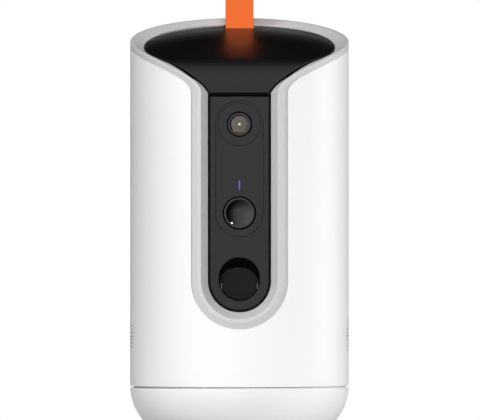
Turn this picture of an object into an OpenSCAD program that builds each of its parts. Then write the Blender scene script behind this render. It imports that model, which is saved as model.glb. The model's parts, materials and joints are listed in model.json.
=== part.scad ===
// Treat-tossing pet camera: a round free-standing body with a slanted lift-off lid, a front panel with
// camera, button and treat hole, and a motor-driven toss wheel under a treat hopper.
// Millimetres. Z is up, the front faces -Y, and the foot stands on Z = 0.

/* [Body] */
// Outside diameter of the body
body_d = 120; // [116:1:126]
// Height of the rim at the back
body_h = 230.4; // [226:0.2:240]
// Thickness of the outer wall
shell_wall = 3; // [2.4:0.1:3.4]
// Height of the seam between body and base
seam_z = 27.7; // [26:0.1:28.4]
// Width of the seam groove
seam_gap = 1; // [0.6:0.1:1.4]
// Radius of the rounded lower edge
base_round = 29.6; // [28.6:0.1:31]
// Thickness of the base floor
floor_t = 3; // [2.4:0.1:3.4]
// Height that the rubber foot stands out below the base
foot_h = 1.5; // [1:0.1:2]
// Inner radius of the rubber foot
foot_r = 31; // [30.6:0.1:33]
// Radial width of the rubber foot
foot_w = 9; // [6:0.5:10]

/* [Rim and front opening] */
// Slant of the rim, high at the back
rim_tilt = 12.3; // [10:0.1:14]
// Radial width of the rim
rim_w = 7.4; // [6.6:0.1:8]
// Depth of the lid surface below the outer rim edge
rim_drop = 3; // [2:0.1:4]
// Clear width of the front opening at the panel
opening_w = 34.4; // [33.6:0.2:36]
// Height of the centre of the opening's round lower end
opening_z = 86.3; // [85.6:0.1:87]
// Visible width of the trim's inner face
trim_face = 3.9; // [3:0.1:4.6]
// Width of the trim's narrow flat edge
trim_land = 1.9; // [1.2:0.1:2.4]
// Width of the trim's outer band
trim_band = 3.2; // [2.4:0.1:4]
// Length of the swoop along the body wall
swoop_l = 55; // [48:1:60]
// Drop of the swoop
swoop_h = 16; // [14:0.5:18]
// Parting gap between trim and body wall
trim_gap = 0.25; // [0.2:0.05:0.4]

/* [Lid] */
// Gap round the lid
lid_gap = 0.5; // [0.4:0.1:0.8]
// Thickness of the lid
lid_t = 2.6; // [2.2:0.1:3]
// Radius of the bend at the front of the lid
bend_r = 23.8; // [22:0.2:26]
// Drop of the front panel's top edge below the back of the rim
panel_drop = 43.5; // [42.4:0.1:44]
// Gap between the lid's front edge and the panel
lid_reveal = 2.4; // [1.6:0.1:3]
// Thickness of the gasket
gasket_t = 1.9; // [1.4:0.1:2.4]
// Play between gasket and hopper rim
gasket_play = 0.1; // [0.1:0.05:0.3]
// Depth of the lid's skirt below the lid
skirt_h = 6; // [4:0.5:8]
// Thickness of the lid's skirt
skirt_t = 1.8; // [1.4:0.1:2.2]

/* [Strap] */
// Width of the pull strap
strap_w = 15.4; // [12:0.2:18]
// Thickness of the pull strap
strap_t = 1.5; // [1.2:0.1:1.6]
// Distance of the strap's front face from the lid's back edge
strap_inset = 6.4; // [6.2:0.1:7.1]
// Radius of the strap's finger loop
strap_loop_r = 5.5; // [4.5:0.1:6.5]
// Height of the loop's centre above the strap pin
strap_rise = 29; // [24:1:36]
// Radius of the strap pin
strap_pin_r = 1.1; // [0.9:0.05:1.2]

/* [Front panel] */
// Thickness of the front panel
panel_t = 2.6; // [2.4:0.1:3]
// Gap between panel and trim
panel_gap = 1.15; // [0.8:0.05:1.5]
// Radius of the long window's round ends
window_r = 12.9; // [12.5:0.1:13.4]
// Thickness of the window and camera bezel
window_t = 1; // [0.8:0.1:1.2]
// Gap round the inlaid pieces
inlay_gap = 0.12; // [0.08:0.02:0.2]
// Height of the lens centre, as a share of the way up the panel
lens_share = 0.85; // [0.842:0.002:0.856]
// Radius of the camera bezel
bezel_r = 11.6; // [10.8:0.1:11.9]
// Radius of the lens barrel's head
barrel_r = 6.75; // [6.5:0.05:7.2]
// Radius of the lens glass
glass_r = 4.4; // [4:0.1:4.8]
// Height of the light slit's centre, as a share of the way up the panel
led_share = 0.52; // [0.512:0.002:0.53]
// Length of the light slit
led_l = 5; // [4.4:0.2:6]
// Width of the light slit
led_w = 0.9; // [0.8:0.1:1.3]
// Height of the button's centre, as a share of the way up the panel
button_share = 0.368; // [0.36:0.002:0.376]
// Radius of the button
button_r = 8.45; // [7.8:0.05:8.9]
// Gap round the button
button_gap = 0.7; // [0.3:0.05:0.8]
// Depth of the button's dish
button_dish = 2.4; // [1.4:0.1:2.6]
// Travel of the button
button_travel = 1; // [0.6:0.1:1.1]

/* [Treat outlet] */
// Height of the treat hole's centre
treat_z = 87.1; // [86.6:0.1:87.6]
// Half width of the treat hole
treat_r = 11.1; // [10.9:0.1:11.3]
// Height of the treat hole over its width
treat_tall = 1.5; // [1:0.1:2]
// Height of the flap's centre
flap_z = 83.6; // [83.3:0.1:83.9]
// Radius of the flap
flap_r = 10.3; // [10:0.1:10.4]
// Thickness of the flap
flap_t = 1.3; // [1:0.1:1.5]
// Depth of the flap behind the panel face
flap_depth = 6.9; // [6.7:0.1:7.1]
// Outside radius of the spout
spout_r = 14; // [13.8:0.1:14.2]
// Radius of the flap pin
flap_pin_r = 0.75; // [0.6:0.05:0.85]

/* [Hopper and toss wheel] */
// Distance of the hopper's side wall from the lid's edge
hopper_room = 5.1; // [4.1:0.1:7]
// Room for the boards between the front wall and the hopper
board_room = 15.9; // [15:0.1:16.8]
// Distance of the hopper's back wall from the strap
strap_room = 6.2; // [5.8:0.1:9]
// Thickness of the hopper wall
hopper_wall = 2; // [1.6:0.1:2.4]
// Slope of the hopper's back floor
hopper_slope = 40; // [36:1:44]
// Half width of the hopper outlet
outlet_x = 11; // [9:0.5:11.5]
// Half depth of the hopper outlet
outlet_y = 8; // [7:0.5:8.5]
// Inner radius of the wheel housing
drum_r = 25; // [24.6:0.1:25.4]
// Wall of the wheel housing
drum_wall = 2; // [1.8:0.1:2.2]
// Inner half width of the wheel housing
drum_x = 16; // [15:0.5:17]
// Tip clearance of the toss wheel
wheel_tip = 0.8; // [0.6:0.1:1.2]
// Thickness of the toss wheel's paddles
paddle_t = 2.4; // [1.8:0.1:3]
// Number of paddles
paddles = 4; // [3:1:6]
// Radius of the wheel shaft
shaft_r = 3; // [2.5:0.1:3.4]
// Running clearance of shafts and pins
run_gap = 0.05; // [0.03:0.01:0.08]

/* [Drive] */
// Gear module
gear_m = 1; // [0.98:0.01:1.02]
// Teeth of the wheel gear
wheel_teeth = 30; // [30:1:31]
// Teeth of the idler gear
idler_teeth = 24; // [24:1:25]
// Teeth of the motor pinion
pinion_teeth = 12; // [12:1:13]
// Play between meshing teeth
backlash = 0.2; // [0.16:0.02:0.3]
// Width of the gears
gear_w = 5; // [4:0.5:6]
// Radius of the motor
motor_r = 12; // [10.5:0.1:12.4]
// Length of the motor
motor_l = 31; // [26:1:34]
// Thickness of the gear plate
plate_t = 2.5; // [2:0.1:3]
// Radius of the idler pin
idler_pin_r = 2; // [1.6:0.1:2.4]
// Radius of the motor shaft
motor_shaft_r = 1.5; // [1.2:0.1:2]

/* [Chassis and electronics] */
// Wall of the chassis
chassis_wall = 2.2; // [2:0.1:2.4]
// Thickness of the chassis floor
deck_t = 3; // [2.6:0.1:3.4]
// Thickness of the circuit boards
board_t = 1.6; // [1.2:0.1:1.8]
// Radius of the screw posts in the base
post_r = 4.2; // [4:0.1:4.4]
// Distance of the screw posts from the centre lines
post_xy = 18.8; // [18:0.1:18.9]
// Height of the speaker and grille centres
grille_z = 55.6; // [55:0.1:57]
// Spacing of the grille holes
grille_pitch = 1.89; // [1.7:0.01:2]
// Diameter of the grille holes
grille_hole = 1.1; // [0.9:0.05:1.2]
// Length of the grille along the body
grille_l = 30; // [26:0.5:32]
// Height of the grille
grille_h = 18.4; // [17.6:0.2:19.6]
// Radius of the speaker's cone opening
speaker_r = 16.5; // [15.5:0.1:17]
// Distance of the speaker's seat from the outside of the body
speaker_room = 16.4; // [16:0.1:17]
// Half width of the camera board
camera_half = 13; // [12.6:0.1:13.2]
// Length of the power inlet
inlet_l = 11.6; // [10:0.2:12]

/* [Hidden] */
$fn = 64;
eps = 0.01;
body_r = body_d / 2;
rim_r = body_r - rim_w;
lid_r = rim_r - lid_gap;
rim_slope = tan(rim_tilt);

// Half widths of the trim's edges in the front view, from the panel outwards
half_in = opening_w / 2;
half_land = half_in + trim_face;
half_edge = half_land + trim_land;
half_out = half_edge + trim_band;

// Upright planes of the front: panel face, chassis face and the inner face of the chassis front wall
panel_y = -sqrt(rim_r * rim_r - half_in * half_in);
chassis_y = panel_y + panel_t;
inner_y = chassis_y + chassis_wall;
half_panel = half_in - panel_gap;

// Bend of the lid, tangent to the slanted top and upright at the front
panel_top = body_h - panel_drop;
bend_y = panel_y - 0.4 + bend_r;
bend_top_y = bend_y - bend_r * sin(rim_tilt);
bend_z = body_h - rim_drop - (body_r - bend_top_y) * rim_slope - bend_r * cos(rim_tilt);
lid_front_z = panel_top + lid_reveal;

// Depths below the lid surface of the layers under the lid
gasket_low = lid_t + gasket_t;
rim_high = gasket_low + gasket_play;
rim_low = rim_high + hopper_wall;
boss_low = rim_low - 0.25;

// Base, chassis floor and the plane of the seam
seam_low = seam_z - seam_gap / 2;
seam_high = seam_z + seam_gap / 2;
base_mid_z = seam_z + 0.8;
floor_top = foot_h + floor_t;
lip_top = seam_high + 2.4;
deck_low = seam_z + 2.3;
deck_top = deck_low + deck_t;
lip_r = body_r - shell_wall - 0.2;
lip_in = lip_r - 2.2;
deck_r = lip_in - 0.4;

// Heights on the panel
panel_rise = panel_top - opening_z;
lens_z = opening_z + lens_share * panel_rise;
led_z = opening_z + led_share * panel_rise;
button_z = opening_z + button_share * panel_rise;

// Hopper walls and strap, from the front wall and from the lid's edge
hopper_r = lid_r - hopper_room;
strap_y = lid_r - strap_inset;
hopper_front = inner_y + board_room;
hopper_back = strap_y - strap_room;

// Spout, flap and toss wheel
flap_y = panel_y + flap_depth;
flap_pin_z = flap_z + flap_r + 0.9;
flap_pin_y = flap_y + flap_t / 2;
spout_z = opening_z + 0.4;
drum_out = drum_r + drum_wall;
wheel_y = flap_y + flap_t + 0.5 + drum_out;
wheel_z = flap_z + 1.1;
wheel_r = drum_r - wheel_tip;
neck_low = wheel_z + wheel_r + 1.2;
neck_z = neck_low + 2.9;

// Gear train in the plane of the gears, angles measured from +Y towards +Z
wheel_pitch = gear_m * wheel_teeth / 2;
idler_pitch = gear_m * idler_teeth / 2;
pinion_pitch = gear_m * pinion_teeth / 2;
idler_dir = -40;
pinion_dir = -20;
idler_y = wheel_y + (wheel_pitch + idler_pitch) * cos(idler_dir);
idler_z = wheel_z + (wheel_pitch + idler_pitch) * sin(idler_dir);
motor_y = idler_y + (idler_pitch + pinion_pitch) * cos(pinion_dir);
motor_z = idler_z + (idler_pitch + pinion_pitch) * sin(pinion_dir);
plate_x = drum_x + plate_t;
gear_x = plate_x + 1.1;
gear_end = gear_x + gear_w;
lug_at = drum_out + 2;
lug_dirs = [50, 230, 265];
bush_r = shaft_r + 1.5;
motor_screw_at = 9.4;

// Boards and their posts behind the front wall
camera_board_y = inner_y + 8.4;
button_board_y = inner_y + 4.9;
camera_post = camera_half - 2.6;
button_posts = [[-12, button_z - 9.4], [12, button_z - 9.4], [-12, led_z + 2.6], [12, led_z + 2.6]];
mid_screw_z = (lens_z - camera_half + led_z + 5.8) / 2;
panel_screw_x = half_panel - 3;
low_screw_z = (button_z - 13.3 + spout_z
               + sqrt(max(0, pow(spout_r + 5.2, 2) - pow(panel_screw_x, 2)))) / 2;
panel_screw_at = concat([[0, panel_top - 2.3]], [for (x = [-1, 1], z = [mid_screw_z, low_screw_z])
                                                 [x * panel_screw_x, z]]);
spout_screw_x = spout_r + 1.75;
board_z = floor_top + 4.5;
board_half = body_r - base_round - 0.4;
board_posts = [[4 - board_half, 0], [board_half - 4, 0], [0, 4 - board_half], [0, board_half - 2]];
inlet_z = board_z + board_t + 1.65;
inlet_mouth = lip_in - 3;
speaker_x = body_r - speaker_room;
speaker_face = speaker_x + 2.2;

// Strap pin inside the lid
strap_pin_y = strap_y + strap_t + strap_pin_r + 0.05;
strap_pin_z = lid_plane(strap_pin_y) - 3.1;

// Height of the rim's outer top edge and of the lid surface, at a depth y
function rim_plane(y) = body_h - (body_r - y) * rim_slope;
function lid_plane(y) = rim_plane(y) - rim_drop;
function lid_surface(y) = y > bend_top_y ? lid_plane(y)
    : bend_z + sqrt(max(0, bend_r * bend_r - (y - bend_y) * (y - bend_y)));

// Stations along one half of the trim: the round lower end, the swoop and the slanted rim to the back
low_steps = 12;
swoop_steps = 16;
rim_steps = 14;
half_turn = asin(half_edge / body_r);
swoop_mid = half_turn + swoop_l / body_r * 180 / PI;
low_part = [for (k = [0 : low_steps]) [0, 90 * k / low_steps]];
swoop_part = [for (k = [0 : swoop_steps]) [1, 90 * k / swoop_steps]];
rim_part = [for (k = [1 : rim_steps]) [2, swoop_mid + (180 - swoop_mid) * k / rim_steps]];
trim_half = concat(low_part, swoop_part, rim_part);
cut_half = concat(swoop_part, rim_part);

// Share of the rim's radial direction in the trim's cross-section at a station
function rim_share(s) = s[0] == 0 ? 0 : s[0] == 1 ? pow(sin(s[1]), 2) : 1;

// Angle round the body of a swoop or rim station, for an edge that starts at half width h
function turn(s, h) = s[0] == 2 ? s[1] : swoop_mid - (swoop_mid - asin(h / body_r)) * cos(s[1]);

// Height of a swoop or rim station at the angle a, for an edge that lies drop below the rim's top edge
function edge_z(s, a, r, drop) = rim_plane(-r * cos(a))
    - (s[0] == 2 ? drop : swoop_h - (swoop_h - drop) * sin(s[1]));

function on_body(r, a, z) = [r * sin(a), -r * cos(a), z];
function low_point(h, turn, depth) = [h * sin(turn), depth, opening_z - h * cos(turn)];
function wall_y(x, r) = -sqrt(r * r - x * x);

// A point of a trim edge on the outside of the body
function edge(s, h, drop, inset = 0) = s[0] == 0
    ? low_point(h, s[1], wall_y(h * sin(s[1]), body_r))
    : let (a = turn(s, h), r = body_r - inset * rim_share(s)) on_body(r, a, edge_z(s, a, r, drop));

// The trim's inner edge, along the panel, then just above the lid's edge
function inner_edge(s) = s[0] == 0
    ? low_point(half_in, s[1], panel_y)
    : let (in_turn = asin(half_in / rim_r),
           a = in_turn + (turn(s, half_edge) - half_turn) * (180 - in_turn) / (180 - half_turn))
      on_body(rim_r, a, lid_surface(-rim_r * cos(a)) + 0.3);

// Direction from an outside point into the body, straight back at the front and radial at the back
function inward(s, p) = let (w = rim_share(s), r = norm([p[0], p[1]]),
                             v = [-w * p[0] / r, (1 - w) - w * p[1] / r]) v / norm(v);

// Point reached from p in the direction v at the radius r
function reach(p, v, r) = let (b = p[0] * v[0] + p[1] * v[1], c = p[0] * p[0] + p[1] * p[1] - r * r,
                               t = -b - sqrt(max(0, b * b - c))) [p[0] + t * v[0], p[1] + t * v[1], p[2]];
function shifted(p, v, t) = [p[0] + t * v[0], p[1] + t * v[1], p[2]];

// Cross-section of the trim at a station
function trim_section(s) = let (low = edge(s, half_out, trim_band - 0.2), v = inward(s, low))
    [low, edge(s, half_edge, 0), edge(s, half_land, 0, trim_land), inner_edge(s), reach(low, v, rim_r)];

// Cross-section of the cut that lets the trim into the body wall
function cut_section(s) =
    let (p = edge(s, half_out + trim_gap, trim_band - 0.2 + trim_gap), v = inward(s, p))
    [shifted(p, v, 14), shifted(p, v, -14), [for (i = [0 : 2]) i == 2 ? body_h + 40 : shifted(p, v, -14)[i]],
     [for (i = [0 : 2]) i == 2 ? body_h + 40 : shifted(p, v, 14)[i]]];

function mirrored(section) = [for (p = section) [-p[0], p[1], p[2]]];

// A ring through a list of cross-sections
module ring(sections) {
    n = len(sections);
    m = len(sections[0]);
    points = [for (section = sections, p = section) p];
    faces = [for (i = [0 : n - 1], j = [0 : m - 1], half = [0, 1])
        let (a = i * m + j, b = i * m + (j + 1) % m, c = ((i + 1) % n) * m + (j + 1) % m,
             d = ((i + 1) % n) * m + j)
        half == 0 ? [a, b, c] : [a, c, d]];
    polyhedron(points, faces, convexity = 8);
}

// Outlines in the YZ plane drawn along X, and outlines in the XZ plane drawn along Y
module along_x(from, to) {
    translate([from, 0, 0]) rotate([90, 0, 90]) linear_extrude(to - from, convexity = 6) children();
}

module along_y(from, to) {
    translate([0, to, 0]) rotate([90, 0, 0]) linear_extrude(to - from, convexity = 6) children();
}

module rod_x(r, from, to, y, z) {
    translate([from, y, z]) rotate([0, 90, 0]) cylinder(r = r, h = to - from);
}

module rod_y(r, from, to, x, z) {
    translate([x, to, z]) rotate([90, 0, 0]) cylinder(r = r, h = to - from);
}

module block(from, to) {
    translate(from) cube(to - from);
}

module tube(r_out, r_in, from, to) {
    translate([0, 0, from]) difference() {
        cylinder(r = r_out, h = to - from);
        translate([0, 0, -1]) cylinder(r = r_in, h = to - from + 2);
    }
}

// Pan-head screws along Y and Z: the head starts at the given plane and the shank runs towards the tip
module screw_y(x, z, head_r, head, seat, tip, r) {
    rod_y(head_r, seat, seat + head, x, z);
    rod_y(r, tip, seat + eps, x, z);
}

module screw_z(x, y, head_r, head, seat, tip, r) {
    translate([x, y, seat - head]) cylinder(r = head_r, h = head);
    translate([x, y, seat - eps]) cylinder(r = r, h = tip - seat + eps);
}

// Upright rounded slot in the XZ plane between two heights
module slot_2d(r, low, high) {
    translate([0, low]) circle(r);
    translate([0, high]) circle(r);
    translate([-r, low]) square([2 * r, high - low]);
}

// Outline of the front opening with half width h, open upwards to a height
module opening_2d(h, top) {
    translate([0, opening_z]) circle(h);
    translate([-h, opening_z]) square([2 * h, top - opening_z]);
}

// Space under the lid surface, set in by a depth
module under_lid(depth) {
    r = bend_r - depth;
    y = bend_y - r * sin(rim_tilt);
    z = bend_z + r * cos(rim_tilt);
    far = body_r + 10;
    rod_x(r, -body_r, body_r, bend_y, bend_z);
    along_x(-body_r, body_r) polygon([[y, z], [far, z + (far - y) * rim_slope], [far, seam_z],
        [bend_y - r, seam_z], [bend_y - r, bend_z], [bend_y, bend_z]]);
}

module lid_layer(from, to) {
    difference() {
        union() under_lid(from);
        under_lid(to);
    }
}

// Plan of the hopper, set in by a distance
module hopper_plan(inset) {
    intersection() {
        circle(hopper_r - inset);
        translate([-body_r, hopper_front + inset]) square([body_d, hopper_back - hopper_front - 2 * inset]);
    }
}

module upright(from, to) {
    translate([0, 0, from]) linear_extrude(to - from, convexity = 6) children();
}

// Body

module outer_shell() {
    color("white") difference() {
        tube(body_r, body_r - shell_wall, seam_high, body_h + 5);
        ring(concat([for (s = cut_half) cut_section(s)],
                    [for (k = [len(cut_half) - 2 : -1 : 0]) mirrored(cut_section(cut_half[k]))]));
        along_y(-body_r - 5, 0) opening_2d(half_out + trim_gap,
            rim_plane(wall_y(half_out, body_r)) - swoop_h + 1);
        for (side = [-1, 1]) grille_blank(side, 0.1);
    }
}

module trim_bezel() {
    last = len(trim_half) - 1;
    color("silver") ring(concat([for (s = trim_half) trim_section(s)],
                                [for (k = [last - 1 : -1 : 1]) mirrored(trim_section(trim_half[k]))]));
}

// Outline of the base's round profile, set in by a distance
module base_2d(inset) {
    translate([body_r - base_round, base_mid_z]) circle(base_round - inset);
    translate([0, -1]) square([body_r - base_round, base_mid_z]);
}

module base_bowl() {
    color("white") difference() {
        union() {
            rotate_extrude() difference() {
                intersection() {
                    base_2d(0);
                    translate([0, foot_h]) square([body_r, seam_low - foot_h]);
                }
                intersection() {
                    base_2d(shell_wall);
                    translate([-1, floor_top]) square([body_r, body_h]);
                }
            }
            tube(body_r - shell_wall + 0.3, lip_in, seam_low - 4, seam_low);
            tube(lip_r, lip_in, seam_low - eps, lip_top);
            for (x = [-1, 1], y = [-1, 1]) translate([x * post_xy, y * post_xy, floor_top - eps])
                cylinder(r = post_r, h = deck_low - floor_top + eps);
            for (p = board_posts) translate([p[0], p[1], floor_top - eps])
                cylinder(r = 2.6, h = board_z - floor_top + eps);
        }
        tube(foot_r + foot_w + 0.1, foot_r - 0.1, foot_h - 1, foot_h + 1.1);
        for (x = [-1, 1], y = [-1, 1]) translate([x * post_xy, y * post_xy, 0]) {
            cylinder(r = 1.7, h = body_h);
            cylinder(r = 3, h = 16);
        }
        for (p = board_posts) translate([p[0], p[1], board_z - 3.4]) cylinder(r = 1, h = 10);
        translate([0, 0, inlet_z]) along_y(lip_in - 12, body_r) {
            square([8, 7], center = true);
            for (x = [-4, 4]) translate([x, 0]) circle(3.5);
        }
    }
}

module foot_ring() {
    color("dimgray") tube(foot_r + foot_w, foot_r, 0, foot_h + 1);
}

module base_screws() {
    color("gray") for (x = [-1, 1], y = [-1, 1])
        screw_z(x * post_xy, y * post_xy, 2.7, 2, 16, deck_top - 0.6, 1.5);
}

// Rounded patch of the body wall at one side
module grille_blank(side, gap) {
    r = grille_h / 2 + gap;
    half = grille_l / 2 - grille_h / 2;
    rotate([0, 0, side * 90]) along_y(-body_r - 3, -body_r + shell_wall + 2) translate([0, grille_z]) {
        square([2 * half, 2 * r], center = true);
        for (x = [-half, half]) translate([x, 0]) circle(r);
    }
}

module grille(side) {
    rows = floor(grille_h / grille_pitch / 2 - 0.6);
    room = grille_h / 2 - grille_hole * 0.9;
    half = grille_l / 2 - grille_h / 2;
    color("white") difference() {
        intersection() {
            tube(body_r, body_r - shell_wall + 0.4, grille_z - grille_h, grille_z + grille_h);
            grille_blank(side, 0);
        }
        for (row = [-rows : rows]) {
            z = row * grille_pitch;
            reach = half + sqrt(room * room - z * z);
            count = floor(reach / grille_pitch - (abs(row) % 2) / 2);
            shift = (abs(row) % 2) / 2;
            for (k = [-count - (abs(row) % 2) : count]) rotate([0, 0, side * 90])
                rod_y(grille_hole / 2, -body_r - 3, 0, (k + shift) * grille_pitch, grille_z + z, $fn = 20);
        }
    }
}

module grille_right() {
    grille(1);
}

module grille_left() {
    grille(-1);
}

// Front panel, camera and button

module front_panel() {
    color("#333333") difference() {
        along_y(panel_y, chassis_y) opening_2d(half_panel, panel_top);
        along_y(panel_y - 1, panel_y + window_t) slot_2d(window_r + inlay_gap, button_z, lens_z);
        rod_y(barrel_r + 0.2, panel_y - 1, chassis_y + 1, 0, lens_z);
        rod_y(button_r + button_gap, panel_y - 1, chassis_y + 1, 0, button_z);
        along_y(panel_y - 1, chassis_y + 1) treat_2d();
        led_slot();
        for (p = panel_screw_at) rod_y(0.9, panel_y + window_t + 0.2, chassis_y + 1, p[0], p[1]);
    }
}

module led_slot() {
    along_y(panel_y - 1, inner_y + 1) slot_2d(led_w / 2 + run_gap, led_z - led_l / 2 + led_w / 2,
                                              led_z + led_l / 2 - led_w / 2);
}

module sensor_window() {
    color("#2b2b2b") difference() {
        along_y(panel_y, panel_y + window_t) slot_2d(window_r, button_z, lens_z);
        rod_y(bezel_r + inlay_gap, panel_y - 1, chassis_y, 0, lens_z);
        rod_y(button_r + button_gap, panel_y - 1, chassis_y, 0, button_z);
        led_slot();
    }
}

module camera_bezel() {
    color("#303030") difference() {
        rod_y(bezel_r, panel_y, panel_y + window_t, 0, lens_z);
        rod_y(barrel_r + 0.2, panel_y - 1, chassis_y, 0, lens_z);
    }
}

module lens_barrel() {
    color("#1c1c1c") difference() {
        union() {
            rod_y(barrel_r, panel_y - 0.4, inner_y + 0.9, 0, lens_z);
            rod_y(6, inner_y + 0.8, inner_y + 7.4, 0, lens_z);
        }
        rod_y(glass_r + 0.05, panel_y - 1, panel_y + 2.8, 0, lens_z);
        rod_y(3, panel_y, inner_y + 8, 0, lens_z);
    }
}

module lens_glass() {
    dome = 2 * glass_r;
    color("slategray") intersection() {
        rod_y(glass_r, panel_y - 1, panel_y + 2.8, 0, lens_z);
        translate([0, panel_y + 0.3 + dome, lens_z]) sphere(dome);
    }
}

module lens_holder() {
    color("#202020") difference() {
        block([-7.5, inner_y + 3, lens_z - 7.5], [7.5, camera_board_y, lens_z + 7.5]);
        rod_y(6, inner_y, camera_board_y + 1, 0, lens_z);
    }
}

module camera_board() {
    color("darkgreen") difference() {
        block([-camera_half, camera_board_y, lens_z - camera_half],
              [camera_half, camera_board_y + board_t, lens_z + camera_half]);
        for (x = [-1, 1], z = [-1, 1])
            rod_y(1.1, inner_y, camera_board_y + 5, x * camera_post, lens_z + z * camera_post);
    }
}

module camera_screws() {
    color("gray") for (x = [-1, 1], z = [-1, 1]) screw_y(x * camera_post, lens_z + z * camera_post, 1.8, 1.2,
        camera_board_y + board_t, camera_board_y - 4, 0.9);
}

module led_pipe() {
    color("royalblue") along_y(panel_y, inner_y + 3.6)
        slot_2d(led_w / 2, led_z - led_l / 2 + led_w / 2, led_z + led_l / 2 - led_w / 2);
}

module led_chip() {
    color("ivory") block([-1.2, inner_y + 3.7, led_z - 1.7], [1.2, button_board_y, led_z + 1.7]);
}

module front_button() {
    dish = button_r - 1.05;
    ball = (dish * dish + button_dish * button_dish) / (2 * button_dish);
    front = panel_y - 0.35;
    color("#262626") difference() {
        union() {
            rod_y(button_r, front, inner_y + 0.2, 0, button_z);
            rod_y(button_r + 1.4, inner_y + 0.1, inner_y + 1.3, 0, button_z);
        }
        translate([0, front + button_dish - ball, button_z]) sphere(ball);
    }
}

module switch_plunger() {
    color("ivory") rod_y(1.7, inner_y + 1.3, button_board_y - 0.3 - button_travel, 0, button_z);
}

module push_switch() {
    color("#404040") difference() {
        block([-3.5, inner_y + 1.7 + button_travel, button_z - 3.5], [3.5, button_board_y, button_z + 3.5]);
        rod_y(1.8, inner_y, button_board_y - 0.1, 0, button_z);
    }
}

module button_board() {
    color("darkgreen") difference() {
        block([-15, button_board_y, button_z - 12.4], [15, button_board_y + board_t, led_z + 5.8]);
        for (p = button_posts) rod_y(1.1, inner_y, button_board_y + 5, p[0], p[1]);
    }
}

module button_screws() {
    color("gray") for (p = button_posts)
        screw_y(p[0], p[1], 1.8, 1.2, button_board_y + board_t, button_board_y - 3.4, 0.9);
}

module panel_screws() {
    color("gray") for (p = panel_screw_at)
        screw_y(p[0], p[1], 1.7, 1.1, inner_y, panel_y + window_t + 0.3, 0.9);
}

// Treat outlet

// Outline of the treat hole
module treat_2d() {
    slot_2d(treat_r, treat_z - treat_tall / 2, treat_z + treat_tall / 2);
}

// Outline of the flap, round on top and following the hole's lower edge, widened by a distance
module flap_2d(grow) {
    intersection() {
        translate([0, flap_z]) circle(flap_r + grow);
        translate([0, treat_z - treat_tall / 2]) circle(treat_r - 0.4 + grow);
    }
}

module treat_spout() {
    color("#2a2a2a") difference() {
        union() {
            rod_y(spout_r, chassis_y + 0.05, wheel_y, 0, spout_z);
            rod_y(spout_r + 3.5, inner_y, inner_y + 1.8, 0, spout_z);
        }
        hull() {
            along_y(chassis_y - 0.1, chassis_y + 0.1) treat_2d($fn = 48);
            along_y(flap_y - 0.5, flap_y - 0.3) flap_2d(0.8, $fn = 48);
        }
        along_y(flap_y - 0.4, wheel_y) flap_2d(0.5);
        rod_x(2.6, -5.2, 5.2, flap_pin_y, flap_pin_z);
        block([-5.2, flap_pin_y - 2.6, flap_z], [5.2, wheel_y, flap_pin_z]);
        rod_x(flap_pin_r, -9.6, 9.6, flap_pin_y, flap_pin_z);
        rod_x(drum_out + 0.25, -30, 30, wheel_y, wheel_z);
        for (x = [-1, 1]) rod_y(1.05, chassis_y, wheel_y, x * spout_screw_x, spout_z);
    }
}

module spout_screws() {
    color("gray") for (x = [-1, 1])
        screw_y(x * spout_screw_x, spout_z, 1.65, 1, inner_y + 1.8, chassis_y + 0.4, 0.9);
}

module treat_flap() {
    color("#303030") difference() {
        union() {
            along_y(flap_y, flap_y + flap_t) flap_2d(0);
            block([-4.6, flap_y, flap_z + flap_r - 2], [4.6, flap_y + flap_t, flap_pin_z]);
            rod_x(flap_pin_r + 0.8, -4.6, 4.6, flap_pin_y, flap_pin_z);
        }
        rod_x(flap_pin_r + run_gap, -6, 6, flap_pin_y, flap_pin_z);
    }
}

module flap_pin() {
    color("lightgray") rod_x(flap_pin_r, -9.5, 9.5, flap_pin_y, flap_pin_z);
}

// Lid and strap

module lid_cover() {
    slot_half = strap_w / 2 + 0.4;
    color("#151515") difference() {
        union() {
            intersection() {
                translate([0, 0, lid_front_z]) cylinder(r = lid_r, h = body_h);
                lid_layer(0, lid_t);
            }
            intersection() {
                upright(lid_front_z, body_h) difference() {
                    hopper_plan(hopper_wall + 0.4);
                    hopper_plan(hopper_wall + 0.4 + skirt_t);
                }
                lid_layer(lid_t - 0.5, lid_t + skirt_h);
            }
            intersection() {
                block([-slot_half - 2.8, strap_y - 3, lid_front_z], [slot_half + 2.8, body_r, body_h]);
                translate([0, 0, lid_front_z]) cylinder(r = lid_r, h = body_h);
                lid_layer(lid_t - 0.5, boss_low);
            }
        }
        block([-slot_half, strap_y - 0.9, lid_front_z], [slot_half, body_r, body_h + 20]);
        rod_x(strap_pin_r, -slot_half - 2, slot_half + 2, strap_pin_y, strap_pin_z);
    }
}

module lid_gasket() {
    color("gainsboro") intersection() {
        upright(lid_front_z, body_h) difference() {
            hopper_plan(-1);
            hopper_plan(hopper_wall + 0.35);
        }
        lid_layer(lid_t, gasket_low);
    }
}

// Pear-shaped outline from the pin up to the finger loop, grown by a distance
function strap_pear(grow) = let (low = strap_pin_r + 0.05 + grow, high = strap_loop_r + grow,
                                 lean = asin((high - low) / strap_rise), steps = 20) concat(
    [for (k = [0 : steps]) let (a = -lean + (180 + 2 * lean) * k / steps)
        [high * cos(a), strap_rise + high * sin(a)]],
    [for (k = [0 : steps]) let (a = 180 + lean + (180 - 2 * lean) * k / steps) low * [cos(a), sin(a)]]);

module pull_strap() {
    color("darkorange") translate([0, strap_pin_y, strap_pin_z])
        along_x(-strap_w / 2, strap_w / 2) difference() {
            polygon(strap_pear(strap_t));
            polygon(strap_pear(0));
        }
}

module strap_pin() {
    color("lightgray") rod_x(strap_pin_r, -strap_w / 2 - 2.3, strap_w / 2 + 2.3, strap_pin_y, strap_pin_z);
}

// Hopper, wheel housing and toss wheel

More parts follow.
